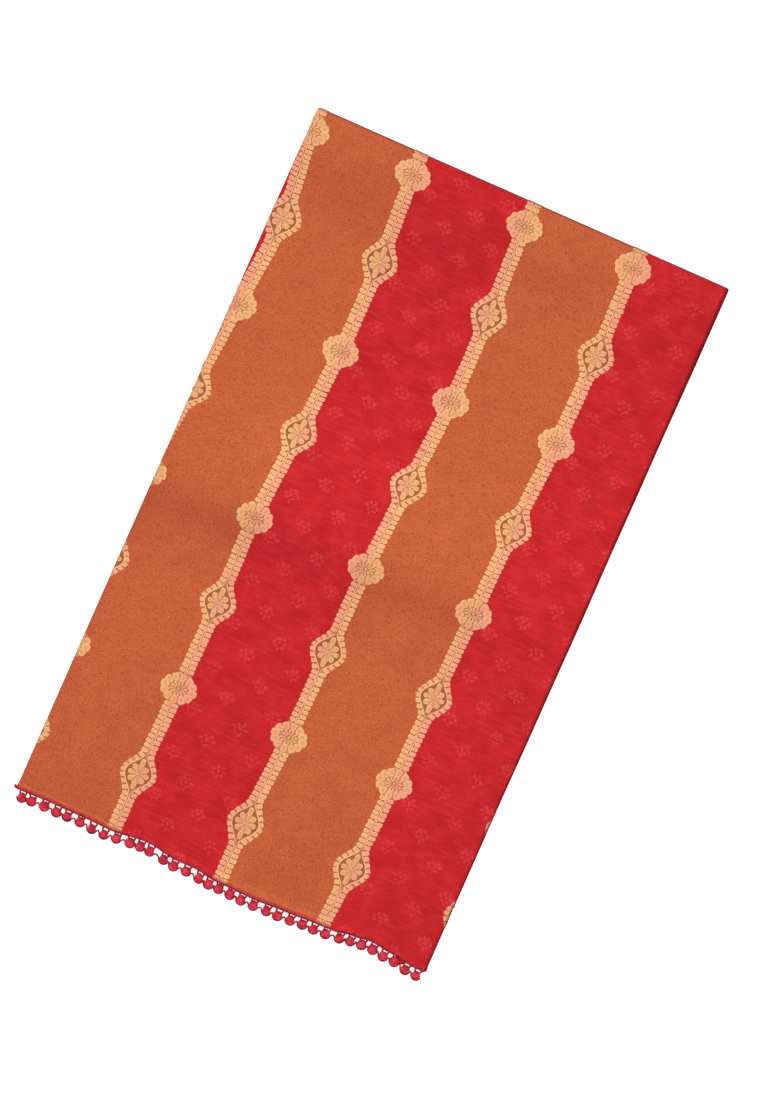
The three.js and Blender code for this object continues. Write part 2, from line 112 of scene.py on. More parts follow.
CREASE_SHADOWS = [  # dark cords laid across a band as painted shadows of small creases: band, x from its middle, half length, v, bend
    (1, 0.0, 4.8, 157.3, -0.7),
    (2, -0.6, 4.4, 164.8, 0.5),
    (3, 1.4, 2.6, 108.6, 0.3),
]

# %% [markdown]
# ## The packet's upper face
# Pressed cloth falls away softly towards its edges. A few long creases keep it from looking like a
# board. Every height below comes from this one function, so whatever is laid
# on the cloth later follows it.

# %% Heights
def smooth_step(x):
    t = np.clip(x, 0, 1)
    return t * t * (3 - 2 * t)


def hump(x, middle, reach):
    """1 in the middle, and fading away to both sides."""
    return np.exp(-((x - middle) / reach) ** 2)


def fade(distance, reach):
    """1 at an edge, and fading away inward."""
    return np.exp(-np.clip(distance, 0, None) / reach)


def crease_depth(u, v):
    depth = 0 * (u + v)
    for cu, cv, angle, length, breadth, deep in CREASES:
        turn = math.radians(angle)
        du, dv = u - cu, v - cv
        on = (du * math.cos(turn) + dv * math.sin(turn)) / (length / 2)
        off = (dv * math.cos(turn) - du * math.sin(turn)) / breadth
        depth = depth + deep * np.exp(-off**2 - on**4)
    return depth


def top_height(u, v):
    u, v = np.clip(u, 0, QUARTER), np.clip(v, 0, PANEL)
    distances = {"top": v, "end": PANEL - v, "left": u, "right": QUARTER - u}
    falls = sum(drop * fade(distances[edge], reach) for edge, (drop, reach) in FALLS.items())
    return HEIGHT - falls - crease_depth(u, v)


def end_sag(u):
    """How far the pallu's end sags past its mean line."""
    sag = 0 * u + END_SAG[0][1]
    for (u0, sag0), (u1, sag1) in zip(END_SAG, END_SAG[1:]):
        sag = sag + (sag1 - sag0) * smooth_step((u - u0) / (u1 - u0))
    return sag


print("height in the middle:", round(float(top_height(MIDDLE_U, PANEL / 2)), 2), "mm")

# %% [markdown]
# ## The section of a leaf
# Seen from its end, a leaf is one line of cloth. From the free selvedge of the third quarter it
# runs right, turns inside the right fold, comes back as the second quarter, turns over the left
# fold, goes right as the face, turns over the right fold and comes back as the fourth quarter.
# The line below has a point wherever it bends. A place `across` the cloth is looked up on it.

# %% Leaf section
def arc(centre_u, centre_depth, radius, start, stop, steps=8):
    turns = np.linspace(start, stop, steps)
    return [(centre_u - radius * math.cos(t), centre_depth - radius * math.sin(t)) for t in turns]


def leaf_section():
    d = QUARTER_DEPTHS
    left_centre = d["face"] + LEFT_LOOP
    outer = (d["fourth"] - d["face"]) / 2
    inner = (d["third"] - d["second"]) / 2
    middle = (d["third"] + d["second"]) / 2
    half = math.pi / 2

    def level(quarter, *us):
        return [(u, d[quarter]) for u in us]

    line = level("third", 0.0, *BENDS)
    line += arc(QUARTER - outer, middle, inner, -half, -3 * half)
    line += level("second", *BENDS[::-1], 9.0) + [(4.0, d["second"] + 0.18)]
    line += arc(LEFT_LOOP, left_centre, LEFT_LOOP, -half, half)
    line += level("face", *BENDS)
    line += arc(QUARTER - outer, (d["fourth"] + d["face"]) / 2, outer, half, 3 * half)
    line += level("fourth", *BENDS[::-1], 0.0)
    return np.array(line)


def with_arc_length(line):
    steps = np.hypot(*np.diff(line, axis=0).T)
    return np.concatenate([[0], np.cumsum(steps)])


SECTION = leaf_section()
SECTION_AT = with_arc_length(SECTION)
LEFT_TURN = int(np.argmin(np.where((SECTION_AT > 500) & (SECTION_AT < 600), SECTION[:, 0], 99)))
SECTION_AT = SECTION_AT - SECTION_AT[LEFT_TURN]
run = np.gradient(SECTION, SECTION_AT, axis=0)
SECTION_OUT = np.stack([run[:, 1], -run[:, 0]], axis=1)
SECTION_OUT /= np.linalg.norm(SECTION_OUT, axis=1)[:, None]
FIRST_ACROSS, LAST_ACROSS = SECTION_AT[0], SECTION_AT[-1]
RIGHT_TURN = float(SECTION_AT[np.argmax(np.where(SECTION_AT > 0, SECTION[:, 0], 0))])
print("selvedges at", round(FIRST_ACROSS, 1), "and", round(LAST_ACROSS, 1), "mm")
print("right fold at", round(RIGHT_TURN, 1), "mm")


def wander(along, amount, which):
    """A slow stray of an edge. It runs on along the cloth, so no two leaves have the same edge."""
    slow = np.sin(along / 37 + 2.1 * which)
    quick = np.sin(along / 13 + 5.3 * which)
    return amount * (0.65 * slow + 0.35 * quick)


def section_place(across, along, lift):
    """u and depth in the leaf, for a place on the cloth lifted off its outer face."""
    u = np.interp(across, SECTION_AT, SECTION[:, 0])
    depth = np.interp(across, SECTION_AT, SECTION[:, 1])
    out_u = np.interp(across, SECTION_AT, SECTION_OUT[:, 0])
    out_depth = np.interp(across, SECTION_AT, SECTION_OUT[:, 1])
    on_face = along < PANEL
    left_stray = np.where(on_face, -0.9 - 0.3 * np.sin(np.pi * np.clip(along / PANEL, 0, 1)),
                          0.35 + wander(along, 0.35, 1))
    right_stray = np.where(on_face, -0.2 + 0.8 * smooth_step(along / PANEL),
                           -0.4 + wander(along, 0.25, 2))
    near_left, near_right = fade(u, FOLD_REACH), fade(QUARTER - u, FOLD_REACH)
    lower = fade(across - FIRST_ACROSS, SELVEDGE_REACH) * (3.2 + wander(along, 1.6, 3))
    upper = fade(LAST_ACROSS - across, SELVEDGE_REACH) * (2.6 + wander(along, 1.8, 4))
    free = np.exp(-np.minimum(across - FIRST_ACROSS, LAST_ACROSS - across) / 40)
    u = u + left_stray * near_left * (1 - free) + right_stray * near_right + lower + upper
    depth = depth + 0.05 * np.sin(along / 23 + u / 31) * (near_left + near_right)
    return u + lift * out_u, depth + lift * out_depth


# %% [markdown]
# ## The path of the length
# Along its length the cloth runs up and down the packet twelve times and turns at each end.
# The path is a table of straight stretches and turns. In a bundle, `depth` counts from the face
# that is outermost at the top fold. A leaf lies at `base + way * depth in the leaf`.

# %% Folding path
LEAF_IN_BUNDLE = {"a": (0.0, 1), "b": (BUNDLE, -1), "c": (BUNDLE / 2, 1), "d": (BUNDLE / 2, -1)}
LOW_TURN_V = PANEL - LOWER_FOLD_INSET - LOWER_NOSE_REACH


def bundle_height(bundle, u, v, depth):
    top = top_height(u, v)
    scale = (top - UPPER_FLOOR) / (2 * BUNDLE)
    if bundle == 1:
        return top - depth * scale
    if bundle == 2:
        return UPPER_FLOOR + depth * scale
    return LOWER_ROOF - depth * LOWER_ROOF / BUNDLE


def straight(bundle, leaf, v_from, v_to):
    return {"kind": "straight", "bundle": bundle, "leaf": leaf, "from": v_from, "to": v_to,
            "length": abs(v_to - v_from)}


def turn(bundles, leaves, v, reach, outward):
    """A turn at v between two stretches, standing out by reach(depth)."""
    base, way = LEAF_IN_BUNDLE[leaves[0]]
    depth = base + way * QUARTER_DEPTHS["face"]
    base2, way2 = LEAF_IN_BUNDLE[leaves[1]]
    other = base2 + way2 * QUARTER_DEPTHS["face"]
    high = bundle_height(bundles[0], MIDDLE_U, v, depth)
    low = bundle_height(bundles[1], MIDDLE_U, v, other)
    length = math.pi * (abs(reach(depth)) + abs(high - low) / 2) / 2
    return {"kind": "turn", "bundles": bundles, "leaves": leaves, "v": v, "reach": reach,
            "outward": outward, "length": length}


def at_top(first, second, leaf):
    return turn((first, second), (leaf, leaf), TOP_NOSE_REACH,
                lambda depth: TOP_NOSE_REACH * (1 - depth / BUNDLE), -1)


def at_low(first, second, leaf):
    return turn((first, second), (leaf, leaf), LOW_TURN_V,
                lambda depth: LOWER_NOSE_REACH * depth / BUNDLE, 1)


def small_turn(bundle, leaves, v, middle, half, reach, outward):
    """A turn from one leaf to the next in the same bundle, round the middle between the two."""
    return turn((bundle, bundle), leaves, v, lambda depth: reach * abs(depth - middle) / half, outward)


def there_and_back(leaf, next_leaf, v_from, v_to):
    """Down through the three bundles as one leaf, and back up through them as the next."""
    return [
        straight(1, leaf, v_from, TOP_NOSE_REACH), at_top(1, 2, leaf),
        straight(2, leaf, TOP_NOSE_REACH, LOW_TURN_V), at_low(2, 3, leaf),
        straight(3, leaf, LOW_TURN_V, SMALL_NOSE_REACH),
        small_turn(3, (leaf, next_leaf), SMALL_NOSE_REACH, BUNDLE / 2, BUNDLE / 2, SMALL_NOSE_REACH, -1),
        straight(3, next_leaf, SMALL_NOSE_REACH, LOW_TURN_V), at_low(3, 2, next_leaf),
        straight(2, next_leaf, LOW_TURN_V, TOP_NOSE_REACH), at_top(2, 1, next_leaf),
        straight(1, next_leaf, TOP_NOSE_REACH, v_to),
    ]


PATH = [
    *there_and_back("a", "b", PANEL, PANEL - END_TURN_BACK),
    small_turn(1, ("b", "c"), PANEL - END_TURN_BACK, 0.75 * BUNDLE, BUNDLE / 4, END_TURN_REACH, 1),
    *there_and_back("c", "d", PANEL - END_TURN_BACK, PANEL - LAST_END_BACK),
]
STARTS = np.concatenate([[0], np.cumsum([leg["length"] for leg in PATH])])
print("folded path:", round(STARTS[-1] / 1000, 3), "m in", len(PATH), "legs")


def end_back(across):
    """How far back an inner quarter's end lies from the end of the face."""
    right = 0.8 + 8.2 * smooth_step((across - RIGHT_TURN - 10) / 28)
    left = 0.6 + 5.4 * smooth_step(-across / 90)
    inside = np.where(across < 0, left, np.where(across > RIGHT_TURN, right, 0))
    near = np.minimum(np.abs(across), np.abs(across - RIGHT_TURN))
    return inside * smooth_step(near / 1.5)


def fold(across, along, lift):
    """The places, in millimetres in the frame, of points on the cloth."""
    across, along, lift = np.broadcast_arrays(across, along, lift)
    lift = lift + HEM_RISE * smooth_step((HEM - along) / 0.8) * (lift > 0)
    u, leaf_depth = section_place(across, along, lift)
    v, z = np.zeros(u.shape), np.zeros(u.shape)
    for leg, start in zip(PATH, STARTS):
        here = (along >= start) | (leg is PATH[0])
        here &= (along < start + leg["length"]) | (leg is PATH[-1])
        if not here.any():
            continue
        t = (along[here] - start) / leg["length"]
        uh, deep = u[here], leaf_depth[here]
        if leg["kind"] == "straight":
            base, way = LEAF_IN_BUNDLE[leg["leaf"]]
            vh = leg["from"] + (leg["to"] - leg["from"]) * t
            if leg is PATH[0]:
                vh = vh - end_back(across[here]) * np.clip(1 - t, 0, 1) ** 2
                vh = vh + end_sag(uh) * smooth_step((vh - PANEL + SAG_REACH) / SAG_REACH)
            z[here] = bundle_height(leg["bundle"], uh, vh, base + way * deep)
            v[here] = vh
        else:
            (base, way), (base2, way2) = (LEAF_IN_BUNDLE[leaf] for leaf in leg["leaves"])
            first = bundle_height(leg["bundles"][0], uh, leg["v"], base + way * deep)
            second = bundle_height(leg["bundles"][1], uh, leg["v"], base2 + way2 * deep)
            angle = np.pi * t
            z[here] = (first + second) / 2 + (first - second) / 2 * np.cos(angle)
            v[here] = leg["v"] + leg["outward"] * leg["reach"](base + way * deep) * np.sin(angle)
    return np.stack([u - QUARTER / 2, TOP_EDGE_Y - v, z], axis=-1)


# %% [markdown]
# ## Where the pattern lies on the face
# Zari bands run along the cloth, 72.5 mm apart. A folded sari is never quite square, so on the
# pallu's face each band strays a little from its place. The table gives where each band's middle
# lies. Near a band the pattern keeps its true scale, and the plain cloth between takes up the rest.

# %% Pattern places
BAND_PITCH = 72.5
BAND_HALF = 12.0
DRIFT_AT = [13, 72, 129, 188, 246, 304, 362, 420, 455]  # v
BAND_DRIFT = [
    [1.5, 8.0, 4.3, -0.3, -4.8, -4.3, -4.8, -6.5, -8.0],
    [69.5, 72.8, 73.1, 70.1, 66.2, 66.7, 66.0, 64.6, 64.6],
    [145.2, 147.3, 147.9, 144.8, 141.6, 140.9, 140.2, 137.0, 136.9],
    [216.6, 217.7, 217.3, 214.4, 213.1, 211.8, 210.8, 208.3, 205.7],
    [290.0, 290.5, 290.0, 289.0, 288.0, 286.5, 284.1, 282.4, 281.0],
]
MOTIF_PITCH = 116.2
COLUMN_OUT = 2.82  # a knot column's middle, from the band's
LOZENGE_REACH = 14.8  # along, from a lozenge's middle to where the columns run straight
COLUMN_SWING = 7.15  # how much further out it lies beside a lozenge
KNOT_PITCH = 3.2
FIRST_LOZENGE = 37.4  # from the pallu's end


def smooth_table(at, values, x):
    """A smooth curve through a table's rows."""
    at, values = np.array(at, float), np.array(values, float)
    slopes = np.gradient(values, at)
    i = np.clip(np.searchsorted(at, x) - 1, 0, len(at) - 2)
    step = at[i + 1] - at[i]
    t = np.clip((x - at[i]) / step, 0, 1)
    h00, h10 = 2 * t**3 - 3 * t**2 + 1, t**3 - 2 * t**2 + t
    h01, h11 = -2 * t**3 + 3 * t**2, t**3 - t**2
    return h00 * values[i] + h10 * step * slopes[i] + h01 * values[i + 1] + h11 * step * slopes[i + 1]


def band_middle(band, along):
    """Where a band's middle lies across the cloth. Bands count from 0 at the left fold."""
    v = np.clip(PANEL - along, 0, PANEL)
    if 0 <= band < len(BAND_DRIFT):
        return smooth_table(DRIFT_AT, BAND_DRIFT[band], v)
    edge = 0 if band < 0 else len(BAND_DRIFT) - 1
    return smooth_table(DRIFT_AT, BAND_DRIFT[edge], v) + (band - edge) * BAND_PITCH


WEFT_BOWS = [  # across, reach across, v, reach along v, how far the weft bows down
    (140, 45, 120, 120, 4.2),
    (72, 30, 140, 50, 2.2),
    (60, 110, 8, 26, 1.5),
    (110, 150, 248, 28, 1.2),
    (0, 28, 160, 48, 2.3),
    (214, 30, 172, 42, 1.5),
    (216, 30, 5, 30, -1.2),
]


def back_drift(along):
    return 1.5 + 2.5 * np.sin(along / 160)


def weft_bow(across, along):
    """The weft bows a little, which carries the middle motifs down the packet."""
    v = PANEL - along
    bow = 0 * (across + v)
    for at_across, reach_across, at_v, reach_v, rise in WEFT_BOWS:
        bow = bow + rise * hump(across, at_across, reach_across) * hump(v, at_v, reach_v)
    return bow


def pattern_place(across, along, face):
    """The woven pattern's own coordinates, in millimetres across and along."""
    if not face:
        return across - back_drift(along), along
    middles = [band_middle(k, along) for k in range(-1, 6)]
    woven = across - middles[0] - BAND_PITCH
    for k in range(6):
        left, right = middles[k] + BAND_HALF, middles[k + 1] - BAND_HALF
        plain = (across - left) / (right - left) * (BAND_PITCH - 2 * BAND_HALF)
        between = (k - 1) * BAND_PITCH + BAND_HALF + plain
        near = k * BAND_PITCH + across - middles[k + 1]
        woven = np.where(across > left, np.where(across < right, between, near), woven)
    return woven, along + weft_bow(across, along)


def painted_shade_and_light(u, v, face):
    """Painted shade and light as a factor on the colour: painted shade along the pressed edges, down the
    folds and in the long trough, painted light in a band across the middle, lighter along the hem, 1
    elsewhere.
    """
    if not face:
        return 0 * (u + v) + 0.94
    from_top, from_end, from_right = (np.clip(far, 0, None) for far in (v, PANEL - v, QUARTER - u))
    # Painted shade: darker where the cloth falls away at its pressed edges, with a painted shadow line down
    # each fold.
    deep = 0.02 * fade(from_end, 30) + 0.03 * fade(u, 8) + 0.04 * fade(from_right, 10)  # pressed edges
    deep = deep + 0.28 * hump(u, -1.9, 0.8)  # a line down the left fold
    deep = deep + 0.8 * hump(from_top, 0, 1.3) + 0.7 * hump(from_right, 0, 1.0)  # the other folds
    # Painted shade in a band below the top fold, in the long trough and lower down the face.
    deep = deep + 0.085 * hump(from_top, 42, 21) * (1 - 0.002 * u)
    trough = 0.04 + 0.07 * smooth_step((250 - u) / 90) + 0.05 * hump(u, 52, 22)
    deep = deep + trough * hump(v + 0.03 * u, 261, 13)
    deep = deep + 0.035 * hump(v, 286, 14) + 0.025 * smooth_step((v - 300) / 80)
    # Painted light in a band across the middle, lighter along the hem, and slow small waves over all.
    light = 0.05 * hump(v, 200, 42) + 0.1 * smooth_step((HEM - from_end) / 0.8)
    broad = 0.012 * np.sin(u / 31 + 1.3) * np.sin(v / 47 + 0.4) + 0.01 * np.sin(u / 11 + v / 60)
    return 1 - deep + light + broad


# %% [markdown]
# ## Colours, nodes and meshes
# Colours are written as a designer would, in hex. One function adds any shader or geometry node
# with its settings and links. `Wire` lets a formula be written with Python's own signs.

# %% Helpers
def linear(hex_colour):
    parts = [int(hex_colour[i:i + 2], 16) / 255 for i in (1, 3, 5)]
    return tuple(p / 12.92 if p <= 0.04045 else ((p + 0.055) / 1.055) ** 2.4 for p in parts) + (1,)


def node(tree, kind, inputs=(), **settings):
    """Adds a node. inputs is a list in socket order, or a dict by name; Wires and sockets link."""
    made = tree.nodes.new(kind)
    for name, value in settings.items():
        setattr(made, name, value)
    pairs = inputs.items() if isinstance(inputs, dict) else enumerate(inputs)
    for key, value in pairs:
        if isinstance(value, Wire):
            value = value.socket
        if isinstance(value, bpy.types.NodeSocket):
            tree.links.new(value, made.inputs[key])
        else:
            made.inputs[key].default_value = value
    return made


class Wire:
    """A number in a node tree. Arithmetic on it adds Math nodes."""

    def __init__(self, tree, socket):
        self.tree, self.socket = tree, socket

    def math(self, operation, *others):
        made = node(self.tree, "ShaderNodeMath", [self, *others], operation=operation)
        return Wire(self.tree, made.outputs[0])

    __add__ = partialmethod(math, "ADD")
    __sub__ = partialmethod(math, "SUBTRACT")
    __mul__ = partialmethod(math, "MULTIPLY")
    __truediv__ = partialmethod(math, "DIVIDE")
    __pow__ = partialmethod(math, "POWER")
    below = partialmethod(math, "LESS_THAN")
    above = partialmethod(math, "GREATER_THAN")

    def ramp(self, low, high):
        """0 below low, 1 above high, and smooth between."""
        made = node(self.tree, "ShaderNodeMapRange", [self, low, high, 0.0, 1.0],
                    interpolation_type="SMOOTHSTEP")
        return Wire(self.tree, made.outputs[0])


def mixed(tree, factor, first, second, blend="MIX"):
    """A colour between two, each of them a hex colour or a socket."""
    first, second = (linear(c) if isinstance(c, str) else c for c in (first, second))
    made = node(tree, "ShaderNodeMix", {0: factor, 6: first, 7: second}, data_type="RGBA",
                blend_type=blend)
    return made.outputs[2]


def layered(tree, colour, *layers):
    """A colour with others laid over it in turn, each by its own factor."""
    for factor, over in layers:
        colour = mixed(tree, factor, colour, over)
    return colour


def from_attribute(tree, name):
    return Wire(tree, node(tree, "ShaderNodeAttribute", attribute_name=name).outputs["Fac"])


def times_painted_shade(tree, colour, green, blue):
    """A colour times the painted shade and light, which goes to a power in green and in blue."""
    depth = from_attribute(tree, "painted_shade_and_light")
    shade = node(tree, "ShaderNodeCombineColor", [depth, depth ** green, depth ** blue])
    return mixed(tree, 1.0, colour, shade.outputs[0], "MULTIPLY")


def noise_at(tree, where, scale, detail=2.0, rough=0.5):
    made = node(tree, "ShaderNodeTexNoise", {"Vector": where, "Scale": scale, "Detail": detail,
                                             "Roughness": rough})
    return Wire(tree, made.outputs["Fac"])


def bumped(tree, height, strength):
    made = node(tree, "ShaderNodeBump", {"Height": height, "Strength": strength, "Distance": 0.0001})
    return made.outputs[0]


def new_material(name):
    material = bpy.data.materials.new(name)
    material.use_nodes = True
    tree = material.node_tree
    tree.nodes.clear()
    return material, tree


def finish_material(tree, **sockets):
    named = {label.replace("_", " "): value for label, value in sockets.items()}
    surface = node(tree, "ShaderNodeBsdfPrincipled", named)
    node(tree, "ShaderNodeOutputMaterial", {"Surface": surface.outputs[0]})


def new_mesh(name, points, faces, material=None):
    mesh = bpy.data.meshes.new(name)
    mesh.from_pydata(np.asarray(points, float).tolist(), [], faces, shade_flat=False)
    if material:
        mesh.materials.append(material)
    return mesh


def put_values(mesh, name, values):
    attribute = mesh.attributes.new(name, "FLOAT", "POINT")
    attribute.data.foreach_set("value", np.array(values, np.float32))


def linked(name, data):
    made = bpy.data.objects.new(name, data)
    bpy.context.scene.collection.objects.link(made)
    return made


# %% [markdown]
# ## Woven art silk
# Art silk is viscose or polyester with a soft, slightly dry sheen. Rust and red stripes alternate,
# and the zari bands cover each join. The rust ground has a fine pepper of darker weft, and the red
# ground has small bootis, sprigs woven in a slightly lighter red. The UV map holds the cloth's own
# metres, so every figure here is its real size on the loom. The weave is drawn about three times
# coarser than the real 0.3 mm, because threads that fine vanish at this distance.

# %% Woven art silk
OPENING = (7.75, 12.0)  # half the breadth and length of a lozenge's opening
OPENING_POWER = 1.55  # its sides bulge in the middle and draw in towards its tips
KNOT_GROUND = (1.9, 1.7)  # half the breadth and length of the flat zari beneath a knot
KNOT_GAP = (2.5, 1.5)  # outside this the ground between two knots takes a painted shadow
ROSETTE_GROUND = (11.0, 9.2)
BRAID_OUT = 1.4  # how far the zari goes out past the middle of a knot column
GAP_SHADOW_IN = 1.7  # how far the painted shadow between the knots goes in from there
SPOKES = 12
WARP_PITCH, WEFT_PITCH = 0.9, 1.0
BOOTI_PITCH = 29.1
BOOTI_START = 0.4
BOOTI_COLUMN = 15.0
BOOTI_HALF = 30.0  # how far the sprigs go to both sides of a stripe's middle
BOOTI = [  # a sprig's petals and stem: x, y, half breadth, half length
    (-3.7, 0.9, 1.5, 1.1),
    (3.6, 0.7, 1.6, 1.1),
    (-1.7, 2.9, 1.2, 1.4),
    (1.5, 3.1, 1.3, 1.3),
    (0.0, 0.6, 1.2, 1.2),
    (-2.3, -1.6, 1.2, 0.9),
    (2.1, -1.9, 1.1, 0.9),
    (0.3, -3.2, 0.8, 1.6),
]


def woven_silk():
    material, tree = new_material("woven_art_silk")
    uv = node(tree, "ShaderNodeUVMap", uv_map="cloth").outputs[0]
    parts = node(tree, "ShaderNodeSeparateXYZ", [uv])
    x, y = (Wire(tree, parts.outputs[k]) * 1000.0 for k in (0, 1))

    def noise(scale, detail=2.0, stretch=(1000, 1000, 1000), rough=0.5):
        spread = node(tree, "ShaderNodeVectorMath", [uv, stretch], operation="MULTIPLY").outputs[0]
        return noise_at(tree, spread, scale, detail, rough)

    def ellipse(from_x, from_y, half_x, half_y):
        """0 in the middle of an ellipse, 1 on its line and more outside."""
        return (from_x / half_x) ** 2.0 + (from_y / half_y) ** 2.0

    # Stripes: an even one is rust, and an odd one is red.
    stripe = (x / BAND_PITCH).math("FLOOR")
    is_red = (stripe / 2).math("FRACT").above(0.25)

    # The nearest band, and the distances along to the nearest lozenge and rosette.
    across = x - (x / BAND_PITCH).math("ROUND") * BAND_PITCH
    side = across.math("ABSOLUTE")
    phase = (y - FIRST_LOZENGE) / MOTIF_PITCH
    to_lozenge = ((phase - phase.math("ROUND")) * MOTIF_PITCH).math("ABSOLUTE")
    to_rosette = ((phase - phase.math("FLOOR") - 0.5) * MOTIF_PITCH).math("ABSOLUTE")

    # The flat zari beneath the raised figures, and the painted shadow in the gaps between them.
    out = side - (to_lozenge.ramp(LOZENGE_REACH, 0.0) * COLUMN_SWING + COLUMN_OUT)
    knot_y = ((y / KNOT_PITCH).math("FRACT") - 0.5) * KNOT_PITCH
    rosette_r = ellipse(across, to_rosette, *ROSETTE_GROUND).math("SQRT")
    in_rosette = rosette_r.below(1.0)
    zari = out.below(BRAID_OUT).math("MAXIMUM", in_rosette)
    zari = zari.math("MAXIMUM", ellipse(out, knot_y, *KNOT_GROUND).below(1.0))
    between_knots = ellipse(out, knot_y, *KNOT_GAP).ramp(0.7, 1.0) * out.above(-GAP_SHADOW_IN)
    between_knots = between_knots * rosette_r.above(1.0)
    spokes = (to_rosette.math("ARCTAN2", side) * SPOKES).math("COSINE")
    between_spokes = (spokes * (rosette_r.below(0.55) * 2.0 - 1.0)).ramp(0.55, 1.0) * in_rosette
    to_tip = (to_lozenge / OPENING[1]).math("MINIMUM", 1.0) * (math.pi / 2)
    inset = to_tip.math("COSINE").math("MAXIMUM", 0.0001) ** OPENING_POWER * OPENING[0] - side
    in_opening = inset.ramp(-0.15, 0.15) * to_lozenge.below(OPENING[1])

    # Bootis: soft sprigs in columns, each column half a step along from the next.
    within = x - (stripe + 0.5) * BAND_PITCH
    column = ((within + BOOTI_HALF) / BOOTI_COLUMN).math("FLOOR")
    row = (y - BOOTI_START) / BOOTI_PITCH + column * 0.5
    bx = within + BOOTI_HALF - (column + 0.5) * BOOTI_COLUMN + (noise(0.33) - 0.5) * 5.0
    by = (row - row.math("ROUND")) * BOOTI_PITCH + (noise(0.41) - 0.5) * 4.0
    booti = bx * 0.0
    for at_x, at_y, half_x, half_y in BOOTI:
        booti = booti.math("MAXIMUM", ellipse(bx - at_x, by - at_y, half_x, half_y).ramp(1.4, 0.3))
    booti = booti * (noise(0.03, 1.0) * 1.3 + 0.25)
    booti = booti * within.math("ABSOLUTE").below(BOOTI_HALF) * noise(0.9).ramp(0.25, 0.55)

    # Ground colours with their grain.
    pepper, cloudy = noise(1.3, rough=0.7), noise(0.075, 3.0)
    speck = noise(0.62, 0.0, (1000, 620, 1000))
    slub = noise(0.3, 2.0, (520, 1000, 1000))
    weft = noise(0.55, 1.0, (140, 1000, 1000))
    glint = noise(1.9, 1.0, (1000, 450, 1000))
    rust = layered(tree, "#ae4b28",
                   (pepper.ramp(0.3, 0.7), "#de7449"),
                   (speck.ramp(0.6, 0.76) * 0.35, "#8a3e20"),
                   (slub.ramp(0.35, 0.7) * 0.3, "#b9522d"),
                   (cloudy.ramp(0.35, 0.65) * 0.14, "#9c4423"))
    red = layered(tree, "#c21a20",
                  (cloudy.ramp(0.25, 0.75), "#d8272d"),
                  (weft.ramp(0.45, 0.75) * 0.22, "#e2484c"),
                  (slub.ramp(0.4, 0.75) * 0.3, "#b9141c"),
                  (pepper.ramp(0.4, 0.7) * 0.6, "#a21119"),
                  (booti * 0.54, "#e6474c"))

    # Old gold over both, rosier over the red, with painted shadow between the knots and between the
    # rosette's spokes.
    gap_shadow = mixed(tree, is_red, "#a2623a", "#a53d32")
    metal = layered(tree, mixed(tree, is_red, "#e3ac74", "#e5a47c"),
                    (glint.ramp(0.3, 0.7) * 0.5, "#bd8350"),
                    (between_knots * 0.9, gap_shadow),
                    (between_spokes * 0.5, gap_shadow))
    colour = layered(tree, mixed(tree, is_red, rust, red),
                     (zari, metal),
                     (in_opening * inset.ramp(3.2, 2.2), "#a36139"))

    # The weave's relief: warp and weft go over and under each other.
    warp = (x * (2 * math.pi / WARP_PITCH)).math("SINE")
    fill = (y * (2 * math.pi / WEFT_PITCH)).math("SINE")
    relief = warp * fill * 0.5 + pepper * 0.8 + zari * 1.2
    rough = zari * -0.12 + 0.62 + (pepper - 0.5) * 0.1
    finish_material(tree, Base_Color=times_painted_shade(tree, colour, 1.9, 1.5), Roughness=rough,
                    Specular_IOR_Level=0.1, Sheen_Weight=0.05, Sheen_Roughness=0.4,
                    Sheen_Tint=linear("#ffd9c8"), Normal=bumped(tree, relief, 0.35))
    return material


silk = woven_silk()
print("woven silk:", len(silk.node_tree.nodes), "nodes")

# %% [markdown]
# ## The folded cloth
# Each piece is a patch of the one cloth: some columns across and some rows along. It is a thin
# closed shell, because real cloth has an edge that shows. The grid is fine on the pallu's face,
# and in the hidden leaves only near the folds, where the edges are seen.

# %% Cloth shells
def shell(name, columns, rows, face):
    """A closed shell of cloth over every column and row, with its pattern and its painted shade and light.
    """
    across, along = np.meshgrid(columns, rows)
    outer = fold(across, along, CLOTH_THICK / 2)
    inner = fold(across, along, -CLOTH_THICK / 2)
    points = np.concatenate([outer.reshape(-1, 3), inner.reshape(-1, 3)]) / 1000
    grid = np.arange(across.size).reshape(across.shape)
    under = grid + across.size

    def quads(a, b, c, d):
        return np.stack([a, b, c, d], axis=-1).reshape(-1, 4)

    top = quads(grid[:-1, :-1], grid[:-1, 1:], grid[1:, 1:], grid[1:, :-1])
    bottom = quads(under[:-1, :-1], under[1:, :-1], under[1:, 1:], under[:-1, 1:])
    ring = np.concatenate([grid[0, :], grid[1:, -1], grid[-1, -2::-1], grid[-2:0:-1, 0]])
    after = np.roll(ring, -1)
    wall = quads(ring, ring + across.size, after + across.size, after)
    mesh = new_mesh(name, points, np.concatenate([top, bottom, wall]).tolist(), silk)
    flat = np.stack(pattern_place(across, along, face), axis=-1).reshape(-1, 2) / 1000
    loops = np.zeros(len(mesh.loops), np.int32)
    mesh.loops.foreach_get("vertex_index", loops)
    uv = np.concatenate([flat, flat])[loops]
    mesh.uv_layers.new(name="cloth").data.foreach_set("uv", uv.astype(np.float32).ravel())
    # The painted shade and light, the same on both sides of the shell.
    deep = painted_shade_and_light(outer[..., 0] + QUARTER / 2, TOP_EDGE_Y - outer[..., 1], face).ravel()
    put_values(mesh, "painted_shade_and_light", np.concatenate([deep, deep]))
    return mesh


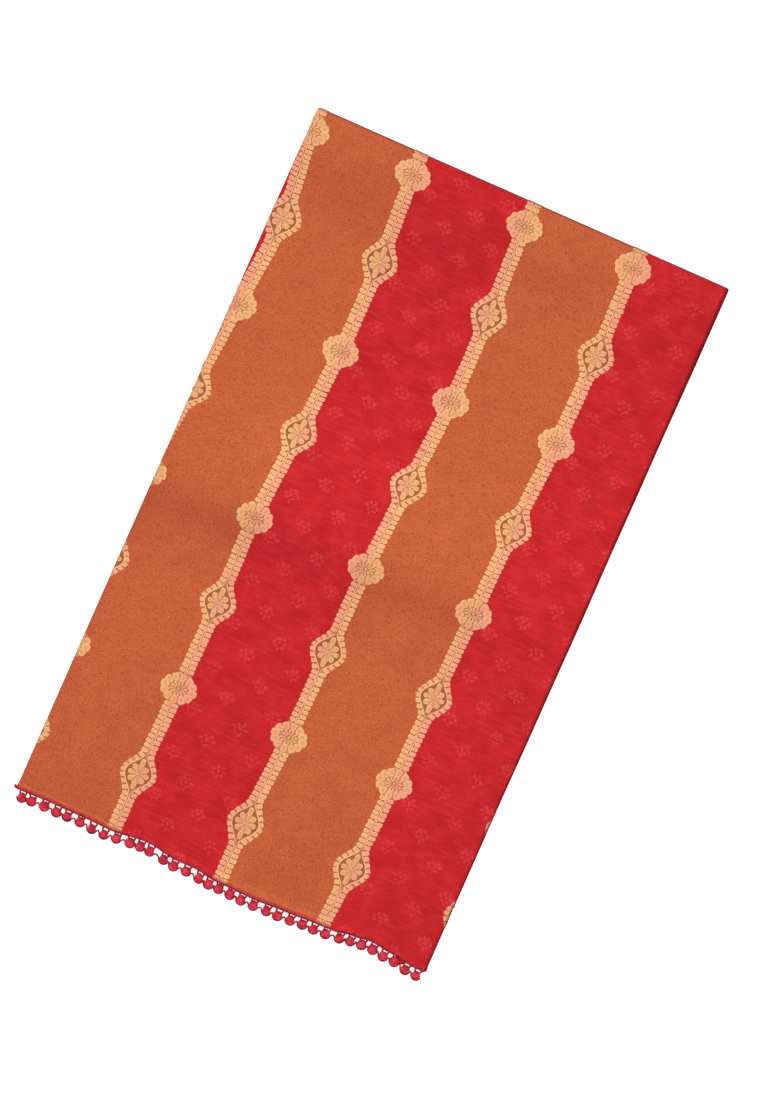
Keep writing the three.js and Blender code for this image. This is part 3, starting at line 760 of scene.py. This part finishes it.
def as_object(name, meshes):
    """One object made of one or more meshes."""
    made = [linked(name, mesh) for mesh in meshes]
    if len(made) > 1:
        with bpy.context.temp_override(active_object=made[0], selected_editable_objects=made):
            bpy.ops.object.join()
    made[0].name = made[0].data.name = name
    triangles = sum(len(p.vertices) - 2 for p in made[0].data.polygons)
    print(f"{name}: {triangles} triangles")
    return made[0]


def steps(start, stop, size):
    return np.linspace(start, stop, max(2, int(round(abs(stop - start) / size)) + 1))


def joined(*runs):
    return np.unique(np.round(np.concatenate(runs), 4))


FACE_FROM, FACE_TO = -7.0, RIGHT_TURN + 8.0
left_fold = [-3.0, -1.6, -0.66, -0.44, -0.22, 0.0, 0.22, 0.44, 0.66, 1.6, 3.0]
right_fold = RIGHT_TURN + np.array([-3.0, -1.6, -0.8, -0.53, -0.26, 0.0, 0.26, 0.53, 0.8, 1.6, 3.0])
inner_fold = -RIGHT_TURN + np.array([-2.5, -0.9, -0.3, 0.0, 0.3, 0.9, 2.5]) + 0.5


def rows_between(start, end, gap, turn_steps=9):
    """Rows along the path from start to end: gap apart where it is straight, closer in turns."""
    rows = [start, end]
    for leg, at in zip(PATH, STARTS):
        size = gap if leg["kind"] == "straight" else leg["length"] / turn_steps
        rows += [r for r in steps(at, at + leg["length"], size) if start + 0.2 < r < end - 0.2]
    return joined(rows)


TUCK = 12.0  # how far a piece that shows runs on into the folds
RIGHT_EDGE = QUARTER - 2.4  # where the columns by the right fold begin
face_end = STARTS[2] + TUCK
base_start, base_end = STARTS[5] - TUCK, STARTS[8] + TUCK
face_grid = 2.1

face_columns = joined(steps(3, RIGHT_EDGE, face_grid), left_fold, right_fold, [FACE_FROM, FACE_TO])
near_hem = [0, 0.8, 1.6, 2.2, 2.6, 3.0, 3.4, 4.2, 5.4, 7.2, 9]
face_rows = joined(near_hem, rows_between(9, face_end, face_grid, 12))
pallu = as_object("pallu_cloth", [shell("face", face_columns, face_rows, True)])

leaf_gap = 11.0
near_inner_fold = [-268, -230, -160, -90, -40, -15, FACE_FROM]
inner_columns = [
    joined([FIRST_ACROSS, -546, -530, -480, -420, -340, -290], inner_fold, near_inner_fold),
    joined([FACE_TO, 290, 330, 400, 470, 520, 545, LAST_ACROSS]),
]
inner_rows = joined(steps(0, 12, 3), rows_between(12, face_end, leaf_gap))
inner = as_object("pallu_inner_quarters", [shell("inner", c, inner_rows, True) for c in inner_columns])

base_columns = joined(steps(3, RIGHT_EDGE, 6), left_fold, right_fold, [FACE_FROM, FACE_TO])
base = as_object("base_cloth", [shell("base", base_columns, rows_between(base_start, base_end, 6), False)])

all_columns = joined(*inner_columns, left_fold, right_fold, [6, 20, 60, 110, 165, 220, 255, 268])
beside_base = rows_between(base_start, base_end, leaf_gap)
leaves = as_object("folded_leaves", [
    shell("before", all_columns, rows_between(face_end, base_start, leaf_gap), False),
    *[shell("beside", columns, beside_base, False) for columns in inner_columns],
    shell("after", all_columns, rows_between(base_end, STARTS[-1], leaf_gap), False),
])

# %% [markdown]
# ## Zari work that stands up
# Zari is metal-wrapped thread, woven in thicker than the silk, so the bands stand a little proud.
# Each figure is drawn flat, on the cloth's own coordinates, from low domes and cords: knots along
# two columns, petals and ribs. Geometry Nodes puts a dome on every point, and the result is then
# laid onto the folded cloth by the same function that folded it.

# %% Scatter with Geometry Nodes
SUNK = 0.06  # the part of a dome's height that it sinks into the cloth


def dome(name, half_across, half_along, height, sides=12, root=1.0, square=0.75, rim=0.12,
         edge=0.1, middle=0.62):
    """A low closed dome that dips in the middle, like a loop of thick thread. Its lower end is
    root times as wide, and a small square fills its corners. "crest" is edge at its outer line,
    where it sinks into its neighbours, and 1 along its rim."""
    # crest sets the zari's painted shade and highlight: low at the outer line, where the dome sinks into
    # its neighbours, high along its rim, and between these in its dip.
    rings = [(1.0, -SUNK, edge), (1 - rim, 0.9, 1.0), (0.62, 0.88, 0.5 + middle / 2)]  # scale, level, crest
    turns = np.linspace(0, 2 * math.pi, sides, endpoint=False)
    points, crest = [], []
    for scale, level, bright in rings:
        for t in turns:
            c, s = math.cos(t), math.sin(t)
            x = half_across * scale * math.copysign(abs(c) ** square, c)
            y = half_along * scale * math.copysign(abs(s) ** square, s)
            x *= root + (1 - root) * (y / half_along + 1) / 2
            points.append((x, y, height * level))
            crest.append(bright)
    points += [(0, 0, height * 0.66), (0, 0, height * -SUNK)]
    crest += [middle, 0.0]
    top, base_point = len(points) - 2, len(points) - 1
    faces = []
    for i in range(sides):
        j = (i + 1) % sides
        for low in range(0, (len(rings) - 1) * sides, sides):
            faces.append((low + i, low + j, low + sides + j, low + sides + i))
        faces.append((top - sides + i, top - sides + j, top))
        faces.append((j, i, base_point))
    mesh = new_mesh(name, points, faces)
    put_values(mesh, "crest", crest)
    return mesh


def scatter_tree(template, material):
    """Puts the template on every point, turned and sized by the point's own attributes."""
    tree = bpy.data.node_groups.new("put_on_points", "GeometryNodeTree")
    tree.interface.new_socket("Points", in_out="INPUT", socket_type="NodeSocketGeometry")
    tree.interface.new_socket("Result", in_out="OUTPUT", socket_type="NodeSocketGeometry")
    start = node(tree, "NodeGroupInput")
    shape = node(tree, "GeometryNodeObjectInfo", {"Object": template})
    turned, sized = (node(tree, "GeometryNodeInputNamedAttribute", {"Name": name},
                          data_type="FLOAT_VECTOR").outputs[0] for name in ("turned", "sized"))
    rotation = node(tree, "FunctionNodeEulerToRotation", [turned])
    placed = node(tree, "GeometryNodeInstanceOnPoints", {
        "Points": start.outputs["Points"], "Instance": shape.outputs["Geometry"],
        "Rotation": rotation.outputs[0], "Scale": sized})
    real = node(tree, "GeometryNodeRealizeInstances", [placed.outputs[0]])
    painted = node(tree, "GeometryNodeSetMaterial", {"Geometry": real.outputs[0], "Material": material})
    node(tree, "NodeGroupOutput", [painted.outputs[0]])
    return tree


def scatter(name, template_mesh, places, turns, sizes, material):
    """A mesh of the template at every place, in the units of the places."""
    template = linked("template", template_mesh)
    points = new_mesh(name + "_points", places, [])
    for label, values in (("turned", turns), ("sized", sizes)):
        attribute = points.attributes.new(label, "FLOAT_VECTOR", "POINT")
        attribute.data.foreach_set("vector", np.array(values, np.float32).ravel())
    holder = linked(name, points)
    tree = scatter_tree(template, material)
    holder.modifiers.new("put_on_points", "NODES").node_group = tree
    evaluated = holder.evaluated_get(bpy.context.evaluated_depsgraph_get())
    result = bpy.data.meshes.new_from_object(evaluated)
    result.name = name
    result.materials.clear()
    result.materials.append(material)
    result.polygons.foreach_set("material_index", np.zeros(len(result.polygons), np.int32))
    for made in (holder, template):
        bpy.data.objects.remove(made)
    bpy.data.node_groups.remove(tree)
    return result


def points_of(mesh):
    flat = np.zeros(len(mesh.vertices) * 3)
    mesh.vertices.foreach_get("co", flat)
    return flat.reshape(-1, 3)


def set_points(mesh, points):
    mesh.vertices.foreach_set("co", points.ravel())
    mesh.update()


# %% Zari thread material
def zari_thread():
    """Metal-wrapped thread: a warm, broken gleam, gold over rust and rosier over red."""
    material, tree = new_material("zari_thread")
    rosy, crest = from_attribute(tree, "rosy"), from_attribute(tree, "crest")
    where = node(tree, "ShaderNodeTexCoord").outputs["Object"]
    grain = noise_at(tree, where, 1400.0)
    patch = noise_at(tree, where, 160.0, 1.0).ramp(0.3, 0.7)
    gold = mixed(tree, patch, "#fdb37f", "#ffc08c")
    rose = mixed(tree, patch, "#fda687", "#ffb78e")
    # The colour follows crest: painted shadow at a dome's outer line, where it sinks into its neighbours,
    # and in a knot's dip, and a painted highlight along its rim and on a cord's ridge.
    colour = layered(tree, mixed(tree, rosy, "#9a5a33", "#9c3d30"),
                     (crest.ramp(0.0, 0.45), mixed(tree, rosy, "#d0955c", "#d48e62")),
                     (crest.ramp(0.45, 1.0), mixed(tree, rosy, gold, rose)),
                     (grain.ramp(0.42, 0.72) * 0.3, "#b0713f"))
    finish_material(tree, Base_Color=times_painted_shade(tree, colour, 1.4, 1.4), Metallic=0.3, Roughness=0.5,
                    Specular_IOR_Level=0.3, Normal=bumped(tree, grain, 0.5))
    return material


zari = zari_thread()
print("zari thread:", len(zari.node_tree.nodes), "nodes")

# %% [markdown]
# ## Drawing one stretch of band
# The braid is two columns of knots. Every 116 mm the columns swing apart round a lozenge with a
# flower of eight petals, and half-way between the lozenges sits a rosette. Two strands of cord run
# down the braid and one down each side of an opening. The shapes are short formulas, so a band of
# any length can be drawn.

# %% Figures of a band
ROSETTE = (11.7, 9.85)
FLOWER_LOBES = [  # x, y, half breadth, half length; each is drawn in every quarter
    (5.4, 0.0, 1.72, 1.75),
    (3.75, 3.7, 1.95, 1.95),
    (0.0, 7.3, 1.95, 3.1),
]
FLOWER_PETAL = (0.85, 2.3)  # a rib from the flower's middle to each lobe: half breadth, half length
PETAL_AT = 0.42  # how far out its middle lies on the way to the lobe
ROSETTE_FANS = 12
ROSETTE_PETAL = (0.88, 2.4)
KNOT_TILT = 0.15
KNOT_NARROWS = 0.24  # by how much a knot is narrower where its column is furthest out
# A painted crease shadow: a thin, low, dark cord.
CORD = (0.9, 0.5, 1.0)  # half breadth, height, crest
CREASE_SHADOW = (0.32, 0.62, 0.1)
ROUND_FOLD = 1.6  # how far a figure may go on round a side fold
MARGIN = 12.0  # a band is drawn this much longer than its stretch, and cut to it
PRESSED = 0.1  # how much of its height is left beneath the packet


def column_place(y):
    """How far a knot column lies from the band's middle, y from the nearest lozenge."""
    swing = 1 - smooth_step(np.abs(y) / LOZENGE_REACH)
    return COLUMN_OUT + COLUMN_SWING * swing


def motif_rows(first, last, start):
    before, after = math.floor((first - start) / MOTIF_PITCH), math.ceil((last - start) / MOTIF_PITCH)
    return [start + n * MOTIF_PITCH for n in range(before, after + 1)]


def outward(x, y):
    """The turn of a figure that points away from the middle."""
    return math.atan2(y, x) - math.pi / 2


def figures(first, last, seed):
    """Every dome of one band by kind: x from its middle, y along, lift, turn, breadth, length."""
    random = np.random.default_rng(seed)
    knots, petals, lobes, fans = [], [], [], []
    rows = np.arange(math.floor(first / KNOT_PITCH) + 0.5, last / KNOT_PITCH) * KNOT_PITCH
    for y in rows:
        to_lozenge = (y - FIRST_LOZENGE + MOTIF_PITCH / 2) % MOTIF_PITCH - MOTIF_PITCH / 2
        if abs(abs(to_lozenge) - MOTIF_PITCH / 2) < ROSETTE[1] - 0.4:
            continue
        slope = column_place(to_lozenge + 0.5) - column_place(to_lozenge - 0.5)
        for side in (-1, 1):
            x = side * column_place(to_lozenge)
            shake = random.normal(0, 0.1, 2)
            narrow = 1 - KNOT_NARROWS * (abs(x) - COLUMN_OUT) / COLUMN_SWING
            knots.append((x + shake[0], y + shake[1], 0, side * (KNOT_TILT - math.atan(slope)),
                          narrow * random.uniform(0.95, 1.07), random.uniform(0.95, 1.04)))
    for y in motif_rows(first, last, FIRST_LOZENGE):
        for x, up, wide, long in FLOWER_LOBES:
            for side_x in (-1, 1) if x else (1,):
                for side_y in (-1, 1) if up else (1,):
                    lobes.append((x * side_x, y + up * side_y, 0, 0, wide, long))
                    petals.append((x * side_x * PETAL_AT, y + up * side_y * PETAL_AT, 0.1,
                                   outward(x * side_x, up * side_y), *FLOWER_PETAL))
        lobes.append((0, y, 0.2, 0, 0.9, 0.9))
    for y in motif_rows(first, last, FIRST_LOZENGE + MOTIF_PITCH / 2):
        for k in range(ROSETTE_FANS):
            t = k * 2 * math.pi / ROSETTE_FANS
            x, up = (ROSETTE[0] - 3.0) * math.cos(t), (ROSETTE[1] - 3.0) * math.sin(t)
            tip = 1.03 if k % 6 == 0 else 1.0
            fans.append((x * tip, y + up, 0.0, outward(x, up), random.uniform(2.85, 3.05),
                         random.uniform(2.95, 3.1)))
            t += math.pi / ROSETTE_FANS
            x, up = 3.5 * math.cos(t), 3.0 * math.sin(t)
            petals.append((x, y + up, 0.08, outward(x, up), *ROSETTE_PETAL))
        lobes.append((0, y, 0.2, 0, 1.0, 1.0))
    return knots, petals, lobes, fans


def lines_of(first, last):
    """The cords of one band: two strands down the braid, and one down each side of an opening."""
    lines = []
    half = MOTIF_PITCH / 2
    for lozenge in motif_rows(first, last, FIRST_LOZENGE):
        for side in (-1, 1):
            t = np.linspace(-0.999, 0.999, 29)
            half_open = OPENING[0] * np.cos(t * math.pi / 2) ** OPENING_POWER
            lines.append(np.stack([side * (half_open + 0.85), lozenge + t * (OPENING[1] + 0.8)], axis=1))
            y = np.linspace(OPENING[1] + 1.2, half - ROSETTE[1] + 0.8, 22)
            wave = side * (0.6 + 0.1 * np.sin(y * 0.9)) + 0.1 * np.sin(y * 2.3)
            lines += [np.stack([wave, lozenge + way * y], axis=1) for way in (-1, 1)]
    return lines


def cord(line, half_width, height, crest):
    """A low ridge along a flat line: three points wide, closed beneath."""
    run = np.gradient(line, axis=0)
    run /= np.linalg.norm(run, axis=1)[:, None]
    beside = np.stack([-run[:, 1], run[:, 0]], axis=1) * half_width
    rails = ((line - beside, -0.02), (line, height), (line + beside, -0.02))
    n = len(line)
    points = np.concatenate([np.column_stack([at, np.full(n, level)]) for at, level in rails])
    faces = []
    for a, b in ((0, n), (n, 2 * n), (2 * n, 0)):
        faces += [(a + i, b + i, b + i + 1, a + i + 1) for i in range(n - 1)]
    faces += [(2 * n, n, 0), (n - 1, 2 * n - 1, 3 * n - 1)]
    mesh = new_mesh("cord", points, faces, zari)
    # The ridge gets a higher crest than the sides: a painted highlight along the cord, painted shade on its
    # sides.
    put_values(mesh, "crest", np.repeat([0.5 * crest, crest, 0.5 * crest], n))
    return mesh


# %% Lay the bands on the cloth
KNOT_DOME = dome("knot", 2.05, 1.56, 0.36, sides=10, square=0.5)
LOBE_DOME = dome("lobe", 1.0, 1.0, 0.36, root=0.9, square=0.9, edge=0.0, middle=0.5)
FAN_DOME = dome("fan", 1.0, 1.0, 0.36, root=0.5, square=0.7, rim=0.08, edge=0.05, middle=0.5)
PETAL_DOME = dome("petal", 1.0, 1.0, 0.34, sides=10, root=0.3, square=0.8, rim=0.2, edge=0.3)


def cloth_place(band, x, y, face):
    """Where a point of a band's flat drawing lies on the cloth."""
    if not face:
        return band * BAND_PITCH + back_drift(y) + x, y
    along = y
    for _ in range(3):
        across = band_middle(band, along) + x
        along = y - weft_bow(across, along)
    return across, along


def on_cloth(band, x, y, size, first, last, face):
    """Which figures, size from middle to edge, lie on the stretch and inside both folds."""
    across, along = cloth_place(band, x, y, face)
    inside = (across > size - ROUND_FOLD) & (across < RIGHT_TURN + ROUND_FOLD - size)
    return inside & (along > first + size * 0.5) & (along < last - size * 0.5)


def band_meshes(band, first, last, face):
    """All the figures of one band as flat meshes, with x from the band's middle."""
    meshes = []
    kinds = (("knots", KNOT_DOME, 1.7), ("petals", PETAL_DOME, 1.0), ("lobes", LOBE_DOME, 1.0),
             ("fans", FAN_DOME, 1.0))  # label, dome, its half size when it is not scaled
    for (label, template, reach), rows in zip(kinds, figures(first - MARGIN, last + MARGIN, 40 + band)):
        rows = np.array(rows)
        size = np.maximum(rows[:, 4], rows[:, 5]) * reach
        rows = rows[on_cloth(band, rows[:, 0], rows[:, 1], size, first, last, face)]
        if len(rows):
            turns, sizes = np.zeros((len(rows), 3)), np.ones((len(rows), 3))
            turns[:, 2], sizes[:, :2] = rows[:, 3], rows[:, 4:]
            meshes.append(scatter(label, template, rows[:, :3], turns, sizes, zari))
    lines = [(line, CORD) for line in lines_of(first - MARGIN, last + MARGIN)]
    # Thin dark cords across a band, the painted shadows of small creases in the cloth.
    for at_band, middle, half, v, bend in CREASE_SHADOWS if face else ():
        if at_band == band:
            t = np.linspace(-1, 1, 9)
            shadow_line = np.stack([middle + half * t, PANEL - v - bend * t**2], axis=1)
            lines.append((shadow_line, CREASE_SHADOW))
    for line, section in lines:
        line = line[on_cloth(band, line[:, 0], line[:, 1], 0.5, first, last, face)]
        if len(line) > 3:
            meshes.append(cord(line, *section))
    return meshes


def laid_bands(name, count, first, last, face):
    """Bands laid on the face, or pressed flat into the base of the packet."""
    press = 1.0 if face else PRESSED
    laid = []
    for band in range(count):
        for mesh in band_meshes(band, first, last, face):
            x, y, lift = points_of(mesh).T
            across, along = cloth_place(band, x, y, face)
            placed = fold(across, along, lift * press + CLOTH_THICK / 2)
            set_points(mesh, placed / 1000)
            toward_red = -x if band % 2 == 0 else x
            put_values(mesh, "rosy", smooth_step(0.5 + toward_red / 3))
            # The zari takes the painted shade and light of the cloth beneath it.
            put_values(mesh, "painted_shade_and_light", painted_shade_and_light(placed[:, 0] + QUARTER / 2, TOP_EDGE_Y - placed[:, 1], face))
            laid.append(mesh)
    return as_object(name, laid)


pallu_zari = laid_bands("pallu_zari", 5, 1.0, STARTS[2] - 1, True)
base_zari = laid_bands("base_zari", 4, STARTS[5] + 1, STARTS[8] - 1, False)

# %% [markdown]
# ## The crochet edging
# A crocheter overcasts the pallu's end, works a chain along it, and from the chain hangs a wound thread
# ball about every 8 mm on two short legs. A darker thread runs round the lower half of every
# ball and carries it to the next; it is partly real thread and partly painted shade on that half.
# Each ball is a sphere with the ridges of its winding.

# %% Crochet cotton
def crochet_cotton(name, base, shade):
    """Tightly twisted cotton: a dull thread with a fine, slightly worn grain."""
    material, tree = new_material(name)
    where = node(tree, "ShaderNodeTexCoord").outputs["Object"]
    fibre = noise_at(tree, where, 1700.0)
    worn = noise_at(tree, where, 260.0, 1.0).ramp(0.35, 0.65) * 0.5 + fibre.ramp(0.4, 0.65) * 0.5
    finish_material(tree, Base_Color=mixed(tree, worn, base, shade), Roughness=0.7,
                    Specular_IOR_Level=0.1, Normal=bumped(tree, fibre, 0.5))
    return material


ball_cotton = crochet_cotton("crochet_cotton_red", "#ea4350", "#a81a2e")
dark_cotton = crochet_cotton("crochet_cotton_maroon", "#b4283f", "#74142c")
print("cottons:", ball_cotton.name, "and", dark_cotton.name)


# %% Ball edging
BALL_RADIUS = 2.95
BALLS_AT = [  # u of each ball; a crocheter's spacing is never quite even
    4.3, 10.8, 19.3, 27.6, 34.7, 43.3, 51.6, 59.8, 67.9, 76.5, 83.3, 90.0, 99.5, 106.9, 115.3, 124.3, 131.1,
    138.0, 145.8, 153.4, 161.6, 170.5, 177.8, 186.0, 194.0, 201.5, 209.4, 218.2, 225.2, 232.5, 240.0, 247.4,
    255.0, 263.3, 270.8,
]
UNDER_BALLS_AT = [204.4, 212.0, 220.1, 228.0, 235.7, 243.5, 251.4, 258.6]
BALL_DROP, BALL_REACH = 2.7, 4.85  # how far a ball's middle lies below and beyond the pallu's end
UNDER_DROP, UNDER_REACH = 6.2, 3.4
BALL_SHAPE = [1.07, 0.92, 1.0]
LEG_SPREAD = 1.7
LEG_RADIUS, RING_RADIUS, CHAIN_RADIUS, WHIP_RADIUS = 0.62, 0.52, 0.42, 0.3
CHAIN_PITCH, WHIP_PITCH = 1.7, 1.25
ACROSS_FROM_U = 0.24  # across, less u, on the pallu's face


def wound_ball(radius, turns=5, sides=18, rings=11):
    """A sphere with the ridges of its wound thread, which slant like a wound ball's."""
    points, faces = [(0, 0, radius)], []
    for i in range(1, rings):
        polar = math.pi * i / rings
        for k in range(sides):
            t = 2 * math.pi * k / sides
            r = radius * (1 + 0.07 * math.cos(turns * t + 3.2 * polar) * math.sin(polar))
            out = r * math.sin(polar)
            points.append((out * math.cos(t), out * math.sin(t), r * math.cos(polar)))
    points.append((0, 0, -radius))
    last = len(points) - 1
    for k in range(sides):
        j = (k + 1) % sides
        faces.append((0, 1 + k, 1 + j))
        for i in range(rings - 2):
            a, b = 1 + i * sides, 1 + (i + 1) * sides
            faces.append((a + k, b + k, b + j, a + j))
        faces.append((last, last - sides + j, last - sides + k))
    return new_mesh("wound_ball", points, faces)


def thread(line, radius, sides=6):
    """Points and faces of a round thread along a line of points, closed at both ends."""
    line = np.array(line, float)
    run = np.gradient(line, axis=0)
    run /= np.linalg.norm(run, axis=1)[:, None]
    side = np.cross(run, [0.123, 0.251, 0.96])
    side /= np.linalg.norm(side, axis=1)[:, None]
    other = np.cross(run, side)
    turns = [2 * math.pi * k / sides for k in range(sides)]
    points = [line + radius * (math.cos(t) * side + math.sin(t) * other) for t in turns]
    points = np.stack(points, axis=1).reshape(-1, 3)
    faces, n = [], len(line)
    for i in range(n - 1):
        for k in range(sides):
            j = (k + 1) % sides
            faces.append((i * sides + k, i * sides + j, (i + 1) * sides + j, (i + 1) * sides + k))
    faces += [tuple(range(sides))[::-1], tuple((n - 1) * sides + k for k in range(sides))]
    return points, faces


def threads_mesh(name, lines, radius, material, sides=6):
    points, faces, count = [], [], 0
    for line in lines:
        p, f = thread(line, radius, sides)
        faces += [tuple(count + i for i in face) for face in f]
        points.append(p)
        count += len(p)
    return new_mesh(name, np.concatenate(points) / 1000, faces, material)


def face_edge(u):
    """The place of the pallu's end at u, on the cloth's upper side, in the frame."""
    return fold(np.asarray(u, float) + ACROSS_FROM_U, 0.0, 0.0)


def under_edge(u):
    """The same for the quarter beneath, which comes back from the right fold."""
    return fold(2 * RIGHT_TURN - np.asarray(u, float) - ACROSS_FROM_U, 0.0, 0.0)


def curved(points, count=10):
    """A smooth line through a few points."""
    points = np.array(points, float)
    at = np.linspace(0, 1, len(points))
    t = np.linspace(0, 1, count)
    return np.stack([smooth_table(at, points[:, k], t) for k in range(3)], axis=1)


def ball_centres(edge, us, reach, drop, random):
    centres = []
    for at in us:
        out = reach + random.normal(0, 0.3)
        e = edge(np.clip(at, 1.2, QUARTER - 1.2))
        centres.append([at - QUARTER / 2, e[1] - out, e[2] - drop] + random.normal(0, 0.1, 3))
    return np.array(centres)


def ball_legs(edge, centres):
    """Two bent legs from the pallu's end to every ball."""
    legs = []
    for centre in centres:
        for side in (-1, 1):
            u = centre[0] + QUARTER / 2 + side * LEG_SPREAD
            root = edge(np.clip(u, 0.5, QUARTER - 0.5)) + [0, -0.2, -0.2]
            foot = centre + [side * 1.75, BALL_RADIUS * 0.76, 0.6]
            knee = (root + foot) / 2 + [side * 0.3, 0.0, 0.35]
            legs.append(curved([root, knee, foot], 8))
    return legs


def dark_line(centres):
    """The dark thread round the lower half of every ball and on to the next: partly real thread, partly
    painted shade on that half.
    """
    r = BALL_RADIUS + 0.16
    t = np.linspace(math.pi * 1.06, math.pi * 1.94, 9)
    round_ball = np.stack([r * np.cos(t), r * 0.98 * np.sin(t), 0.5 + 0.25 * np.sin(3 * t)], axis=1)
    path = []
    for centre, after in zip(centres, np.roll(centres, -1, axis=0)):
        path += [*(centre + round_ball), (centre + after) / 2 + [0, 0.5, 0.4]]
    path.pop()
    return curved(path, len(path) * 3)


def end_knot(corner):
    """The knotted end of the thread at the left corner, with its tail."""
    t = np.linspace(0, 4 * math.pi, 26)
    loop = 0.7 * np.cos(1.5 * t)
    bow = np.stack([loop * np.cos(t), loop * np.sin(t), 0.3 * np.sin(t)], axis=1)
    return [corner + bow, curved([corner, corner + [-0.6, 0.4, -0.1], corner + [-1.0, 1.0, -0.4]], 7)]


def edging(name, edge, us, reach, drop, seed):
    random = np.random.default_rng(seed)
    centres = ball_centres(edge, us, reach, drop, random)
    turns = random.uniform(0, 2 * math.pi, (len(centres), 3))
    sizes = random.normal(1, 0.035, (len(centres), 1)) * BALL_SHAPE
    balls = scatter(name + "_balls", wound_ball(BALL_RADIUS), centres, turns, sizes, ball_cotton)
    set_points(balls, points_of(balls) / 1000)
    legs = ball_legs(edge, centres)
    if us[0] < 10:
        legs += end_knot(edge(0.0) + [-0.7, 0.1, 0.0])
    low, high = max(us[0] - 4.0, 0.6), min(us[-1] + 4.0, QUARTER - 1)
    t = np.linspace(0, 2 * math.pi, 9)
    loop = np.stack([1.1 * np.cos(t), 0.38 * np.sin(t), 0.18 * np.sin(2 * t)], axis=1)
    chain = [edge(u) + [0.6, -0.3, -0.05] + loop for u in np.arange(low, high, CHAIN_PITCH)]
    slant = np.array([[-0.45, 1.5, 0.42], [-0.1, 0.7, 0.6], [0.3, -0.1, 0.25]])
    whip = [curved(edge(u) + slant, 6) for u in np.arange(low, high, WHIP_PITCH)]
    return as_object(name, [
        balls,
        threads_mesh("legs", legs, LEG_RADIUS, dark_cotton),
        threads_mesh("rings", [dark_line(centres)], RING_RADIUS, dark_cotton),
        threads_mesh("chain", chain, CHAIN_RADIUS, dark_cotton, 5),
        threads_mesh("whip", whip, WHIP_RADIUS, ball_cotton, 5),
    ])


pallu_edging = edging("pallu_edging", face_edge, BALLS_AT, BALL_REACH, BALL_DROP, 7)
under_edging = edging("under_edging", under_edge, UNDER_BALLS_AT, UNDER_REACH, UNDER_DROP, 11)

# %% [markdown]
# ## Put the pieces on the body
# Every piece rides on the one body, and the CAD solids that the pieces stand for are hidden.

for piece in (pallu, inner, base, leaves, pallu_zari, base_zari, pallu_edging, under_edging):
    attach(piece, "root")
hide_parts("pallu_face")
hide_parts("pallu_under")
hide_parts("base_stretch")
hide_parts("folded_layers")
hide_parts("pallu_trim")
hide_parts("under_trim")

# %% [markdown]
# ## Floor, light and camera
# The packet lies on a pale sheet under a broad overhead light, with a weaker light from one side
# that rakes across the zari. The camera looks straight down and is turned 24 degrees.

# %% Stage
FLOOR_HALF = 3.0
paper, tree = new_material("white_paper")
finish_material(tree, Base_Color=(0.93, 0.93, 0.93, 1), Roughness=0.9, Specular_IOR_Level=0.1,
                Emission_Color=(1, 1, 1, 1), Emission_Strength=0.6)
corners = [(FLOOR_HALF * x, FLOOR_HALF * y, 0) for x, y in ((-1, -1), (1, -1), (1, 1), (-1, 1))]
floor = linked("floor", new_mesh("floor", corners, [(0, 1, 2, 3)], paper))
floor.location.z = -0.0002


def lamp(name, kind, place_at, **settings):
    """A light that shines from a place towards the middle of the frame."""
    light = bpy.data.lights.new(name, kind)
    for label, value in settings.items():
        setattr(light, label, value)
    made = linked(name, light)
    made.location = place_at
    made.rotation_euler = Vector(place_at).to_track_quat("Z", "Y").to_euler()


lamp("overhead", "AREA", (0.0, 0.0, 2.8), energy=20.5, size=1.8)
lamp("raking", "SUN", (-0.75, 0.65, 0.75), energy=0.65, angle=math.radians(12))
world = bpy.data.worlds.new("studio")
world.use_nodes = True
world.node_tree.nodes["Background"].inputs[0].default_value = (1, 1, 1, 1)
world.node_tree.nodes["Background"].inputs[1].default_value = 0.68
bpy.context.scene.world = world
bpy.context.scene.view_settings.view_transform = "Standard"

# %% Camera
LENS = 100.0
SENSOR = 36.0
FRAME_HEIGHT = 0.6814  # what the view covers at the packet's upper face
AIM = (0.0135, 0.0000)
TURN = 23.9
camera_data = bpy.data.cameras.new("camera")
camera_data.lens, camera_data.sensor_width = LENS, SENSOR
camera = linked("camera", camera_data)
distance = FRAME_HEIGHT * LENS / SENSOR
camera.location = (AIM[0], AIM[1], HEIGHT / 1000 + distance)
camera.rotation_euler = (0, 0, math.radians(TURN))
bpy.context.scene.camera = camera
print("camera", round(distance, 3), "m above the packet")
